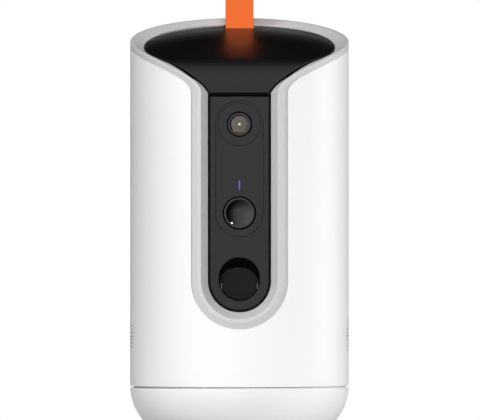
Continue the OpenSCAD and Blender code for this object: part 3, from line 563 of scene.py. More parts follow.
def edge_sink(station):
    """Sink of the trim's inner edge beside the lid, most along the swoops and none at the back."""
    kind, t = station
    if kind == "rim":
        return SINK * SINK_SIDE * (1 - ease((t - SWOOP_END) / SINK_FADE))
    side = 1 - (1 - SINK_SIDE) * ease((t - SINK_FULL) / (QUARTER - SINK_FULL))
    return SINK * side * ease((t - SINK_FROM) / SINK_RISE)


def inner_edge(station):
    """Point of the trim's inner edge, along the panel and then beside the lid's edge."""
    kind, t = station
    if kind == "low":
        return Vector((HALF_IN * sin(t), PANEL_Y, OPENING_Z - HALF_IN * cos(t)))
    if kind == "straight":
        return inner_edge(("low", QUARTER)).lerp(inner_edge(("swoop", 0.0)), t)
    first = asin(HALF_IN / RIM_R)
    share = (pi - first) / (pi - START_TURN)
    turn = first + (turn_of(station, HALF_EDGE) - START_TURN) * share
    height = lid_surface(-RIM_R * cos(turn)) + EDGE_RISE - edge_sink(station)
    return on_wall(RIM_R, turn, height)


def inward(station, p):
    """Direction into the body, straight back at the front and radial at the back."""
    w = rim_share(station)
    r = hypot(p.x, p.y)
    return Vector((-w * p.x / r, (1 - w) - w * p.y / r, 0.0)).normalized()


def reach(p, v, r):
    """Point that is met from p in the direction v at a radius."""
    b = p.x * v.x + p.y * v.y
    c = p.x * p.x + p.y * p.y - r * r
    return p + v * (-b - sqrt(max(0.0, b * b - c)))


def mirrored(points):
    """Points on the other side of the middle plane."""
    return [Vector((-p[0], p[1], p[2])) for p in points]


def both_sides(rows):
    """Rows of one half, and the same rows mirrored."""
    return rows, [mirrored(row) for row in rows]


def both_halves(sections):
    """Closed ring of sections from those of one half."""
    return sections + [mirrored(s) for s in sections[-2:0:-1]]


def softened(corners, radii, count=4):
    """Closed section with each corner rounded by its own radius."""
    made = []
    for i, (p, r) in enumerate(zip(corners, radii)):
        ends = []
        for other in (corners[i - 1], corners[(i + 1) % len(corners)]):
            way = other - p
            ends.append(p + way.normalized() * min(r, way.length * SOFT_SHARE))
        a, b = ends
        made += [a.lerp(p, t).lerp(p.lerp(b, t), t) for t in steps(0.0, 1.0, count)]
    return made


# Body pieces


def wall_sheet(shape, points, kinds, r, low):
    """Body wall at a radius, from a height up to an edge that is given for one half."""
    columns = []
    for p, kind in zip(points, kinds):
        if kind == "straight":
            continue
        turn = atan2(p.x, -p.y)
        top = p.z if kind == "low" else OPENING_Z
        heights = steps(low, top, WALL_ROWS)
        if kind != "low":
            heights += steps(OPENING_Z, p.z, WALL_ROWS)[1:]
        columns.append([on_wall(r, turn, z) for z in heights])
    for half in both_sides(columns):
        made = [shape.row(column) for column in half]
        for a, b in zip(made, made[1:]):
            if len(a) == len(b):
                shape.strip(a, b)


def wall_line(points, kinds, r, z):
    """Level line on the wall below the points of an edge."""
    turns = [atan2(p.x, -p.y) for p, kind in zip(points, kinds) if kind != "straight"]
    return [on_wall(r, turn, z) for turn in turns]


def outer_shell():
    """White body wall with softened edges."""
    shape = Shape()
    stations = trim_stations(*SHELL_COUNTS)
    kinds = [kind for kind, _ in stations]
    lips = []
    for back, depth in rounding(SHELL_SOFT):
        points = [edge(s, HALF_SHELL + back, SHELL_DROP + back) for s in stations]
        lips.append([p + inward(s, p) * depth for s, p in zip(stations, points)])
    points = [edge(s, HALF_SHELL, SHELL_DROP) for s in stations]
    inner = [reach(p, inward(s, p), BODY_R - WALL) for s, p in zip(stations, points)]
    for half in both_sides(lips + [inner]):
        shape.rows(half)
    wall_sheet(shape, lips[0], kinds, BODY_R, SEAM_HIGH + SEAM_SOFT)
    wall_sheet(shape, inner, kinds, BODY_R - WALL, SEAM_HIGH)
    seam = []
    for rise, back in rounding(SEAM_SOFT):
        seam.append(wall_line(lips[0], kinds, BODY_R - back, SEAM_HIGH + rise))
    seam.append(wall_line(inner, kinds, BODY_R - WALL, SEAM_HIGH))
    for half in both_sides(seam):
        shape.rows(half)
    obj = solid("shell_wall", shape)
    outline = level_slot(GRILLE_R, GRILLE_Z, GRILLE_HALF)
    spans = ((GRILLE_IN, GRILLE_OUT), (-GRILLE_OUT, -GRILLE_IN))
    cut(obj, [prism(outline, along_x, *span) for span in spans])
    return obj


def trim():
    """Grey loop round the rim, the swoops and the opening."""
    sections = []
    for s in trim_stations(*TRIM_COUNTS):
        outer = edge(s, HALF_SHELL - TRIM_PLAY, SHELL_DROP - TRIM_PLAY)
        v = inward(s, outer)
        corners = [
            outer + v * (TRIM_STEP + TRIM_FALL * (1 - rim_share(s))),
            edge(s, HALF_EDGE, 0.0),
            edge(s, HALF_LAND, 0.0, TRIM_LAND),
            inner_edge(s),
            reach(outer, v, RIM_R),
        ]
        sections.append(softened(corners, TRIM_SOFT))
    shape = Shape()
    shape.rows(both_halves(sections), closed=True, around=True)
    return solid("trim_loop", shape)


def bowl_curve(r, low, high, count):
    """Round part of the bowl's section between two heights."""
    a, b = [degrees(asin((z - BASE_MID) / r)) for z in (low, high)]
    return arc(BODY_R - BASE_ROUND, BASE_MID, r, a, b, count)


def base_profile():
    """Section of the bowl, up its outside to the upstand, down its inside and along the floor."""
    profile = bowl_curve(BASE_ROUND, FLOOR_LOW, SEAM_LOW - SEAM_SOFT, 44)
    profile += [(BODY_R - back, SEAM_LOW - fall) for back, fall in BASE_SOFT]
    profile += [(SEAM_R, SEAM_LOW), (SEAM_R, STEP_TOP)]
    profile += [(UPSTAND_R, STEP_TOP), (UPSTAND_R, UPSTAND_TOP)]
    profile += [(UPSTAND_IN, UPSTAND_TOP), (UPSTAND_IN, UPSTAND_LOW)]
    profile += bowl_curve(BASE_ROUND - WALL, UPSTAND_LOW, FLOOR_TOP, 24)
    profile += [(0.0, FLOOR_TOP), (0.0, FLOOR_LOW)]
    profile += [(FOOT_IN, FLOOR_LOW), (FOOT_IN, FOOT_TOP)]
    profile += [(FOOT_OUT, FOOT_TOP), (FOOT_OUT, FLOOR_LOW)]
    return profile


def base():
    """White bowl with the inlet's mouth and the screw posts."""
    bowl = solid("bowl", spun(base_profile(), about("z"), 160, closed=True))
    mouth = prism(level_slot(INLET_R, INLET_Z, INLET_HALF), along_y, INLET_IN, INLET_OUT)
    well = box_line(0, 0, WELL_R, WELL_H)
    post = [(HEAD_R, POST_LOW), (POST_R, POST_LOW), (POST_R, POST_TOP)]
    post += [(SHANK_R, POST_TOP), (SHANK_R, POST_STEP), (HEAD_R, POST_STEP)]
    wells = []
    parts = [bowl]
    for x in (-POST_XY, POST_XY):
        for y in (-POST_XY, POST_XY):
            wells.append(spun(well, about("z", x, y), 48))
            parts.append(solid("post", spun(post, about("z", x, y), 48, closed=True)))
    cut(bowl, [mouth] + wells)
    return joined("base_shell", parts)


# Lid and strap


def lid_profile(y, depth):
    """Point of the lid's side profile, at a depth below its surface at y."""
    if y > BEND_TOP_Y:
        normal = Vector((0.0, -sin(SLANT), cos(SLANT)))
    else:
        normal = Vector((0.0, y - BEND_Y, lid_surface(y) - BEND_Z)).normalized()
    return Vector((0.0, y, lid_surface(y))) - normal * depth


def crown_at(y):
    """Rise of the lid's middle line above its straight profile."""
    share = min(1.0, max(0.0, y - CROWN_Y) / (LID_R - CROWN_Y))
    return LID_CROWN * sin(pi * share) * (CROWN_FRONT - CROWN_FALL * share)


def lid_rows(inset, depth, count=110, across=40):
    """Rows of points over the lid, set in from its edge, from the front edge to the back."""
    rise = LID_FRONT_Z + inset
    front = BEND_Y - sqrt(BEND_R**2 - (rise - BEND_Z) ** 2)
    r = LID_R - inset
    first = acos(front / r)
    shares = steps(-1.0, 1.0, across)
    rows = []
    for k in range(count):
        a = first * (1 - k / count)
        p = lid_profile(r * cos(a), depth)
        crown = crown_at(p.y) * (1 - depth / LID_T)
        row = [p + Vector((r * sin(a) * t, 0, 0)) for t in shares]
        for q, t in zip(row, shares):
            q.z += crown * (1 - t * t)
        rows.append(row)
    back = lid_profile(r, depth)
    rows.append([back.copy() for _ in shares])
    return rows


def lid_border(rows):
    """Points round the edge of a sheet of rows."""
    return rows[0] + [r[-1] for r in rows[1:]] + [r[0] for r in rows[-2:0:-1]]


def hopper_outline(inset, count=24):
    """Plan of the hopper's mouth, set in by a distance."""
    r = HOPPER_R - inset
    a = degrees(asin((HOPPER_FRONT + inset) / r))
    b = degrees(asin((HOPPER_BACK - inset) / r))
    return arc(0, 0, r, a, b, count) + arc(0, 0, r, 180 - b, 180 - a, count)


def lid_cover():
    """Curved plate with softened edges."""
    shape = Shape()
    shape.rows(lid_rows(LID_SOFT, 0.0))
    shape.rows(lid_rows(LID_SOFT, LID_T))
    rim = [(LID_SOFT, 0.0), (0.16, 0.04), (0.04, 0.16), (0.0, LID_SOFT)]
    rim += [(0.0, LID_T - LID_SOFT), (LID_SOFT, LID_T)]
    borders = [lid_border(lid_rows(inset, depth)) for inset, depth in rim]
    shape.rows(borders, closed=True)
    return solid("cover", shape)


def lid_skirt():
    """Wall below the lid that reaches into the hopper's mouth."""
    low = SKIRT_DEPTH - SKIRT_SOFT
    section = [(SKIRT_OUT, SKIRT_TOP), (SKIRT_OUT, low), (SKIRT_OUT + SKIRT_SOFT, SKIRT_DEPTH)]
    section += [(SKIRT_IN - SKIRT_SOFT, SKIRT_DEPTH), (SKIRT_IN, low), (SKIRT_IN, SKIRT_TOP)]
    loops = []
    for inset, depth in section:
        loops.append([(x, y, lid_surface(y) - depth) for x, y in hopper_outline(inset)])
    shape = Shape()
    shape.rows(loops, closed=True, around=True)
    return solid("skirt", shape)


def strap_pocket():
    """Block below the lid that holds the strap's pin."""
    corners = box_line(POCKET_Y, POCKET_TOP, POCKET_BACK, POCKET_LOW)
    outline = [(y, lid_surface(y) - depth) for y, depth in corners]
    return solid("boss", prism(outline, along_x, -POCKET_HALF, POCKET_HALF))


def lid():
    """Glossy lid with its skirt and strap pocket below."""
    cover = lid_cover()
    skirt = lid_skirt()
    boss = strap_pocket()
    notch = block((-SLOT_HALF, NOTCH_Y, LID_FRONT_Z), (SLOT_HALF, BODY_R, NOTCH_TOP))
    cut(cover, [notch])
    cut(boss, [notch])
    return joined("lid_top", [cover, skirt, boss])


def strap_path():
    """Height, radius, direction in degrees and share of a straight run, all round the band."""
    low = PIN_R + STRAP_T / 2
    high = STRAP_LOOP_R + STRAP_T / 2
    lean = degrees(asin((high - low) / STRAP_RISE))
    shares = steps(0.0, 1.0, 26)[1:-1]
    path = [(STRAP_RISE, high, a, 0.0) for a in steps(-lean, 180 + lean, 48)]
    path += [(lerp(STRAP_RISE, 0, t), lerp(high, low, t), 180 + lean, t) for t in shares]
    path += [(0.0, low, a, 0.0) for a in steps(180 + lean, 360 - lean, 20)]
    path += [(lerp(0, STRAP_RISE, t), lerp(low, high, t), -lean, t) for t in shares]
    return path


def strap_section():
    """Softened section of the band, by places across it and through it."""
    u = STRAP_W / 2 - STRAP_SOFT
    w = STRAP_T / 2 - STRAP_SOFT
    section = []
    for cu, cw, start in ((u, w, 0), (-u, w, 90), (-u, -w, 180), (u, -w, 270)):
        section += arc(cu, cw, STRAP_SOFT, start, start + 90, 5)
    return section


def strap():
    """Soft band that runs from its pin up to a finger loop and back."""
    shape = Shape()
    section = strap_section()
    made = []
    for z, r, a, t in strap_path():
        turn = radians(a)
        out = Vector((0.0, cos(turn), sin(turn)))
        bow = STRAP_BOW * sin(pi * t)
        centre = Vector((0.0, PIN_Y, PIN_Z + z)) + out * (r - bow)
        made.append(shape.row([centre + Vector((u, 0, 0)) + out * w for u, w in section]))
    rim = STRAP_W / 2 - STRAP_SOFT * SOFT_SHARE
    marks = [1 if abs(p[0] + q[0]) / 2 > rim else 0 for p, q in pairs(section)]
    for a, b in pairs(made):
        shape.strip(a, b, closed=True, marks=marks)
    return solid("strap_band", shape)


# Front panel


def turned(loop, anticlockwise):
    """Outline with the direction asked for."""
    area = sum(a[0] * b[1] - b[0] * a[1] for a, b in pairs(loop))
    return loop if (area > 0) == anticlockwise else loop[::-1]


def shifted(loop, by):
    """Outline moved to its left by a distance."""
    made = []
    for i, p in enumerate(loop):
        before = Vector(p) - Vector(loop[i - 1])
        after = Vector(loop[(i + 1) % len(loop)]) - Vector(p)
        normal = Vector((-before.y, before.x)).normalized() + Vector((-after.y, after.x)).normalized()
        length = by * 2 / normal.length_squared
        made.append((p[0] + normal.x * length, p[1] + normal.y * length))
    return made


def plate(name, outline, holes, front, back, soft, hole_softs=None):
    """Upright plate in X and Z with holes and softened front edges."""
    loops = [turned(outline, True)] + [turned(h, False) for h in holes]
    softs = [soft] + (hole_softs or [soft] * len(holes))
    bm = bmesh.new()
    front_edges = []
    back_edges = []
    for loop, by in zip(loops, softs):
        rows = []
        bend = [(by * (1 - sin(a)), by * (1 - cos(a))) for a in steps(0.0, QUARTER, 4)]
        for inset, depth in bend + [(0.0, back - front)]:
            row = shifted(loop, inset) if inset > 1e-6 else loop
            rows.append([bm.verts.new((x * MM, (front + depth) * MM, z * MM)) for x, z in row])
        for a, b in zip(rows, rows[1:]):
            for (p, s), (q, t) in pairs(list(zip(a, b))):
                bm.faces.new((p, q, t, s))
        for row, edges in ((rows[0], front_edges), (rows[-1], back_edges)):
            edges += [bm.edges.get(ends) for ends in pairs(row)]
    bmesh.ops.triangle_fill(bm, edges=front_edges, use_beauty=True)
    bmesh.ops.triangle_fill(bm, edges=back_edges, use_beauty=True)
    bmesh.ops.recalc_face_normals(bm, faces=bm.faces)
    return finished(name, bm)


def ledge(outer, inner, front, back):
    """Narrow ledge along the panel's sides, between two open outlines."""
    shape = Shape()
    section = [(outer, back), (outer, front), (inner, front), (inner, back)]
    lines = [[(x, y, z) for x, z in line[1:] + line[:1]] for line, y in section]
    made = shape.rows(lines, around=True)
    shape.face([row[0] for row in made])
    shape.face([row[-1] for row in made])
    return solid("ledge", shape)


def u_line(half):
    """Outline of the panel at a half width, with its round bottom."""
    return [(half, PANEL_TOP), (-half, PANEL_TOP)] + arc(0.0, OPENING_Z, half, 180, 360, 80)


def inlay_holes(lens_hole):
    """Holes for the lens, the button and the light slit."""
    slit = upright_slot(LED_W / 2 + LED_PLAY, LED_Z - LED_HALF, LED_Z + LED_HALF, 12)
    return [circle(lens_hole, LENS_Z), circle(BUTTON_HOLE, BUTTON_Z), slit]


def front_panel():
    """Dark plate with its pocket and treat hole, and the steps in the gap round it."""
    pocket = upright_slot(WINDOW_R + INLAY_GAP, BUTTON_Z, LENS_Z, 60)
    treat_hole = upright_slot(TREAT_R, TREAT_LOW, TREAT_HIGH, 60)
    face = plate("face", u_line(HALF_PANEL), [pocket, treat_hole],
                 PANEL_Y, PANEL_BACK, PANEL_SOFT, [INLAY_SOFT, TREAT_SOFT])
    holes = inlay_holes(BARREL_HOLE)
    bottom = plate("pocket_floor", pocket, holes, INLAY_FLOOR, PANEL_BACK, FLOOR_SOFT)
    sides = ledge(u_line(LEDGE_OUT), u_line(LEDGE_IN), LEDGE_Y, PANEL_BACK)
    lip = box_line(LEDGE_OUT, LIP_TOP, -LEDGE_OUT, LIP_LOW)
    tongue = plate("tongue", lip, [], LEDGE_Y, PANEL_BACK, THIN_SOFT)
    behind = box_line(LEDGE_OUT, LIP_TOP, -LEDGE_OUT, BACKING_LOW)
    backing = plate("backing", behind, [], BACKING_Y, PANEL_BACK, THIN_SOFT)
    parts = [face, bottom, marked(sides, 1), marked(tongue, 2), marked(backing, 3)]
    return joined("panel_face", parts)


def sensor_window():
    """Long inlay round the lens, the light slit and the button."""
    outline = upright_slot(WINDOW_R, BUTTON_Z, LENS_Z, 60)
    holes = inlay_holes(BEZEL_R + INLAY_GAP)
    return plate("window_face", outline, holes, PANEL_Y, PANEL_Y + WINDOW_T, THIN_SOFT)


def camera_bezel():
    """Thin disc round the lens."""
    holes = [circle(BARREL_HOLE, LENS_Z)]
    outline = circle(BEZEL_R, LENS_Z)
    return plate("lens_surround", outline, holes, PANEL_Y, PANEL_Y + WINDOW_T, THIN_SOFT)


def lens_ring():
    """Stepped lens barrel with a mouth for the glass."""
    profile = [(TUBE_IN, TUBE_BACK), (TUBE_R, TUBE_BACK), (TUBE_R, TUBE_FRONT), (RING_R, TUBE_FRONT)]
    profile += [(RING_R - back, RING_Y + rise) for rise, back in rounding(RING_SOFT)]
    profile += [(GLASS_R + gap, RING_Y + depth) for gap, depth in RING_MOUTH]
    profile += [(GLASS_R + GLASS_PLAY, GLASS_SEAT), (TUBE_IN, GLASS_SEAT)]
    return solid("lens_ring", spun(profile, about("y", z=LENS_Z), 96, closed=True))


def lens_dome():
    """Domed front glass."""
    heights = steps(0.0, GLASS_R, 20)
    profile = [(x, GLASS_TIP + DOME_R - sqrt(DOME_R * DOME_R - x * x)) for x in heights]
    profile += [(GLASS_R, GLASS_BACK), (0.0, GLASS_BACK)]
    return solid("lens_dome", spun(profile, about("y", z=LENS_Z), 96))


def button():
    """Round dished button with a flange behind the panel."""
    ball = (DISH_R * DISH_R + BUTTON_DISH * BUTTON_DISH) / (2 * BUTTON_DISH)
    deep = BUTTON_Y + BUTTON_DISH - ball
    rim = [(BUTTON_R, BUTTON_Y + BUTTON_SOFT), (BUTTON_R - BUTTON_BEND, BUTTON_Y + BUTTON_BEND)]
    rim += [(BUTTON_R - BUTTON_SOFT, BUTTON_Y), (DISH_OUT, BUTTON_Y)]
    hollow = [(r, deep + sqrt(ball**2 - r * r)) for r in steps(DISH_IN, 0.0, 32)]
    stem = [(0.0, FLANGE_BACK), (FLANGE_R, FLANGE_BACK), (FLANGE_R, FLANGE_FRONT)]
    stem += [(BUTTON_R, FLANGE_FRONT), rim[0]]
    cap = solid("cap", spun(rim + hollow, about("y", z=BUTTON_Z), 96))
    back = solid("stem", spun(stem, about("y", z=BUTTON_Z), 96))
    return joined("button_cap", [cap, marked(back, 1)])


def flap_outline():
    """Outline that is round on top and follows the treat hole's lower edge."""
    shift = TREAT_LOW - FLAP_Z
    meet = (FLAP_R**2 - FLAP_LOW_R**2 + shift**2) / (2 * shift)
    a = degrees(asin(meet / FLAP_R))
    b = degrees(asin((meet - shift) / FLAP_LOW_R))
    upper = arc(0.0, FLAP_Z, FLAP_R, a, 180 - a, 64)[:-1]
    return upper + arc(0.0, TREAT_LOW, FLAP_LOW_R, 180 - b, 360 + b, 48)[:-1]


def flap():
    """Flap with its tab and knuckle, and two short ribs whose light grey is a painted highlight for
    the glints at its sides.
    """
    disc = plate("disc", flap_outline(), [], FLAP_Y, FLAP_Y + FLAP_T, FLAP_SOFT)
    tab = block((-TAB_HALF, TAB_Y, TAB_LOW), (TAB_HALF, FLAP_Y + FLAP_T, TAB_TOP))
    tongue = solid("tongue", tab)
    side = KNUCKLE_HALF - KNUCKLE_SOFT
    r = KNUCKLE_R - KNUCKLE_SOFT
    ring = [(KNUCKLE_IN, -KNUCKLE_HALF), (r, -KNUCKLE_HALF), (KNUCKLE_R, -side)]
    ring += [(KNUCKLE_R, side), (r, KNUCKLE_HALF), (KNUCKLE_IN, KNUCKLE_HALF)]
    pin_axis = about("x", y=FLAP_Y + FLAP_T / 2, z=FLAP_PIN_Z)
    knuckle = solid("knuckle", spun(ring, pin_axis, 40, closed=True))
    parts = [disc, marked(tongue, 1), marked(knuckle, 1)]
    # Two ribs in light grey, a painted highlight for glints at the flap's sides
    slot = upright_slot(RIB_W / 2, FLAP_Z - RIB_L / 2, FLAP_Z + RIB_L / 2, 8)
    for far in (-RIB_X, RIB_X):
        outline = [(x + far, z) for x, z in slot]
        parts.append(marked(plate("rib", outline, [], RIB_FRONT, RIB_BACK, RIB_SOFT), 2))
    return joined("flap_disc", parts)


# Materials


def put(tree, value, socket):
    """Links an output to an input, or sets the input to a plain value."""
    if isinstance(value, bpy.types.NodeSocket):
        tree.links.new(value, socket)
    else:
        socket.default_value = value


def fill(tree, made, inputs):
    """Links or sets the named inputs of a node."""
    for key, value in inputs.items():
        put(tree, value, made.inputs[key])


def node(tree, kind, inputs=None, **settings):
    """New node with its settings and inputs."""
    made = tree.nodes.new(kind)
    for key, value in settings.items():
        setattr(made, key, value)
    fill(tree, made, inputs or {})
    return made


def number_math(tree, operation, *values):
    """Result of a sum on numbers."""
    return node(tree, "ShaderNodeMath", dict(enumerate(values)), operation=operation).outputs["Value"]


def vector_math(tree, operation, *values):
    """Result of a sum on vectors."""
    made = node(tree, "ShaderNodeVectorMath", dict(enumerate(values)), operation=operation)
    return made.outputs["Value" if operation in ("LENGTH", "DOT_PRODUCT") else "Vector"]


def start_material(name):
    """New material with its node tree, its shader and the place on the object."""
    material = bpy.data.materials.new(name)
    material.use_nodes = True
    tree = material.node_tree
    place = node(tree, "ShaderNodeTexCoord").outputs["Object"]
    return material, tree, tree.nodes["Principled BSDF"], place


def noise(tree, place, scale, detail=2.0):
    """Soft random value, different from place to place."""
    inputs = {"Vector": place, "Scale": scale, "Detail": detail}
    return node(tree, "ShaderNodeTexNoise", inputs).outputs["Fac"]


def two_tone(tree, factor, dark, light):
    """Colour between two others."""
    mix = node(tree, "ShaderNodeMix", {"Factor": factor}, data_type="RGBA")
    tones = {"A_Color": dark, "B_Color": light}
    for socket in mix.inputs:
        if socket.identifier in tones:
            socket.default_value = (*tones[socket.identifier], 1.0)
    return next(s for s in mix.outputs if s.identifier == "Result_Color")


def ranged(tree, value, low, high, start=0.0, end=1.0, way="LINEAR"):
    """Value between low and high, for one between start and end."""
    inputs = {"Value": value, "From Min": start, "From Max": end, "To Min": low, "To Max": high}
    return node(tree, "ShaderNodeMapRange", inputs, interpolation_type=way).outputs["Result"]


def bumped(tree, height, depth, strength=1.0):
    """Fine relief, with its depth in thousandths of a millimetre."""
    inputs = {"Height": height, "Distance": depth * MICRON, "Strength": strength}
    return node(tree, "ShaderNodeBump", inputs).outputs["Normal"]


def scaled(colour, share):
    return tuple(min(1.0, c * share) for c in colour)


def finish(name, colour, rough, mottle, grain=2500, depth=4, spread=0.05, metal=0.0, ior=1.5):
    """Moulded or metal surface with slight mottling, uneven gloss and a fine grain."""
    material, tree, shader, place = start_material(name)
    cloud = noise(tree, place, 55.0, 3.0)
    fine = noise(tree, place, grain)
    fill(tree, shader, {
        "Base Color": two_tone(tree, cloud, scaled(colour, 1 - mottle), scaled(colour, 1 + mottle)),
        "Roughness": ranged(tree, fine, rough - spread, rough + spread),
        "Metallic": metal,
        "IOR": ior,
        "Normal": bumped(tree, fine, depth),
    })
    return material


def pierced_with_painted_shade(name, colour, inside, rough):
    """Moulded round wall with painted shade inside its holes, where faces turn away from the radial
    direction.
    """
    material = finish(name, colour, rough, mottle=0.006, depth=2)
    tree = material.node_tree
    place = node(tree, "ShaderNodeTexCoord").outputs
    level = vector_math(tree, "MULTIPLY", place["Object"], (1.0, 1.0, 0.0))
    out = vector_math(tree, "NORMALIZE", level)
    facing = vector_math(tree, "DOT_PRODUCT", out, place["Normal"])
    # Painted shade: faces that turn away from the radial direction take the darker tone
    tone = two_tone(tree, ranged(tree, facing, 0.0, 1.0, 0.4, 0.8), inside, colour)
    fill(tree, tree.nodes["Principled BSDF"], {"Base Color": tone})
    return material


def leather(name, colour, rough):
    """Smooth synthetic leather with a fine pebble grain."""
    material, tree, shader, place = start_material(name)
    cells = node(tree, "ShaderNodeTexVoronoi", {"Vector": place, "Scale": 1900.0})
    cloud = noise(tree, place, 120.0, 4.0)
    fill(tree, shader, {
        "Base Color": two_tone(tree, cloud, scaled(colour, 0.95), scaled(colour, 1.04)),
        "Roughness": ranged(tree, cloud, rough - 0.06, rough + 0.06),
        "Normal": bumped(tree, cells.outputs["Distance"], 60, 0.35),
        "Sheen Weight": 0.08,
    })
    return material


# Tones of the lens glass from its middle to its edge: the bright green-white middle is a painted
# highlight, the rest the glass's brown-grey tone, a little darker at its very edge
GLASS_TONES = [
    (0.0, (0.9, 1.0, 0.94)),
    (0.05, (0.6, 0.9, 0.72)),
    (0.17, (0.06, 0.085, 0.055)),
    (0.35, (0.05, 0.036, 0.022)),
    (0.75, (0.058, 0.041, 0.026)),
    (0.98, (0.05, 0.035, 0.022)),
    (1.0, (0.03, 0.022, 0.014)),
]


def glass_with_painted_highlight(name):
    """Dark coated front glass that looks brown-grey, with a bright point in the middle that is a
    painted highlight.
    """
    material, tree, shader, place = start_material(name)
    middle = (0.0, GLASS_TIP * MM, LENS_Z * MM)
    far = vector_math(tree, "LENGTH", vector_math(tree, "SUBTRACT", place, middle))
    ramp = node(tree, "ShaderNodeValToRGB", {"Fac": number_math(tree, "DIVIDE", far, GLASS_R * MM)})
    elements = ramp.color_ramp.elements
    for element, (share, colour) in zip(elements, (GLASS_TONES[0], GLASS_TONES[-1])):
        element.position = share
        element.color = (*colour, 1.0)
    for share, colour in GLASS_TONES[1:-1]:
        elements.new(share).color = (*colour, 1.0)
    fill(tree, shader, {
        "Base Color": ramp.outputs["Color"],
        "Roughness": 0.3,
        "Coat Weight": 1.0,
        "Coat Roughness": 0.02,
    })
    return material


def lit_slit(name):
    """Clear blue light pipe that glows softly, less towards its sides."""
    material, tree, shader, place = start_material(name)
    cloud = noise(tree, place, 900.0)
    parts = node(tree, "ShaderNodeSeparateXYZ", {"Vector": place})
    side = number_math(tree, "ABSOLUTE", parts.outputs["X"])
    fill(tree, shader, {
        "Base Color": two_tone(tree, cloud, (0.03, 0.025, 0.12), (0.05, 0.04, 0.16)),
        "Roughness": 0.2,
        "Emission Color": (0.095, 0.1, 0.37, 1.0),
        "Emission Strength": ranged(tree, side, 1.0, 0.2, 0.0, LED_W / 2 * MM),
    })
    return material


def circuit_board(name):
    """Green board with a faint net of copper tracks under the lacquer."""
    material, tree, shader, place = start_material(name)
    tracks = node(tree, "ShaderNodeTexVoronoi", {"Vector": place, "Scale": 330.0},
                  distance="MANHATTAN", feature="DISTANCE_TO_EDGE")
    lines = number_math(tree, "LESS_THAN", tracks.outputs["Distance"], 0.06)
    fill(tree, shader, {
        "Base Color": two_tone(tree, lines, (0.012, 0.12, 0.05), (0.03, 0.2, 0.08)),
        "Roughness": 0.35,
        "Normal": bumped(tree, lines, 30, 0.4),
    })
    return material


def grey(tone):
    return (tone, tone, tone)


# Colour, roughness and further values of the plain surfaces
FINISHES = {
    "white_plastic": (grey(0.84), 0.36, dict(mottle=0.006, depth=2)),
    "grey_trim": ((0.57, 0.57, 0.572), 0.45, dict(mottle=0.012, grain=3200, depth=3)),
    "panel_black": ((0.004, 0.004, 0.0041), 0.4, dict(mottle=0.08, grain=4200, depth=6)),
    "gloss_black": ((0.0022, 0.0022, 0.0023), 0.34,
                    dict(mottle=0.05, grain=160, depth=2, spread=0.02, ior=1.45)),
    "button_black": ((0.003, 0.003, 0.0031), 0.1, dict(mottle=0.05, spread=0.02, ior=1.58)),
    "inner_black": (grey(0.002), 0.6, dict(mottle=0.1, depth=10, ior=1.06)),
    "gap_black": (grey(0.003), 0.5, dict(mottle=0.1, ior=1.15)),
    "flap_face": ((0.0035, 0.0035, 0.0036), 0.42, dict(mottle=0.08, grain=4200, ior=1.3)),
    # Light grey of the flap's ribs, a painted highlight for glints
    "rib_painted_glint": (grey(0.2), 0.4, dict(mottle=0.05)),
    "strap_edge": ((0.62, 0.1, 0.02), 0.55, dict(mottle=0.06, grain=1500, depth=20)),
    "hopper_grey": ((0.07, 0.07, 0.073), 0.45, dict(mottle=0.06, depth=8)),
    "rubber_grey": (grey(0.05), 0.8, dict(mottle=0.12, grain=1600, depth=30)),
    "gasket_grey": (grey(0.5), 0.6, dict(mottle=0.04)),
    "gear_white": ((0.72, 0.7, 0.64), 0.45, dict(mottle=0.03)),
    "wheel_orange": ((0.75, 0.18, 0.03), 0.42, dict(mottle=0.04)),
    "steel": ((0.58, 0.58, 0.6), 0.3, dict(mottle=0.06, metal=1, grain=1200)),
    "motor_steel": ((0.5, 0.5, 0.51), 0.34, dict(mottle=0.08, metal=1, grain=900)),
    "bronze": ((0.55, 0.36, 0.14), 0.4, dict(mottle=0.12, metal=1, grain=1500, depth=10)),
    "cone_paper": (grey(0.03), 0.85, dict(mottle=0.25, grain=900, depth=50)),
    "magnet": ((0.16, 0.16, 0.17), 0.4, dict(mottle=0.1, metal=1)),
}
MATERIALS = {}
for name, (colour, rough, further) in FINISHES.items():
    MATERIALS[name] = finish(name, colour, rough, **further)
# Grille wall in white with painted shade in grey 0.35 inside its holes
MATERIALS["grille_white"] = pierced_with_painted_shade("grille_white", grey(0.84), grey(0.35), 0.36)
MATERIALS["board_green"] = circuit_board("board_green")
MATERIALS["light_blue"] = lit_slit("light_blue")
# Lens glass with a painted highlight in its middle
MATERIALS["lens_glass"] = glass_with_painted_highlight("lens_glass")
MATERIALS["strap_orange"] = leather("strap_orange", (1.0, 0.17, 0.028), 0.55)

# Solids whose look isn't the plain one of their slot
SPECIAL = {
    "treat_spout": "gap_black",
    # The steel flap pin is given matt inner black, painted shade that keeps it dark in the throat
    "flap_pin": "inner_black",
    "grille_left": "grille_white",
    "grille_right": "grille_white",
}


def dress_solids():
    """Gives every solid the material of its slot or its own one."""
    for part in frame["record"]["subparts"]:
        mesh = nodes[part["node"]].data
        look = SPECIAL.get(part["node"], part["material_slot"])
        mesh.materials.clear()
        mesh.materials.append(MATERIALS[look])


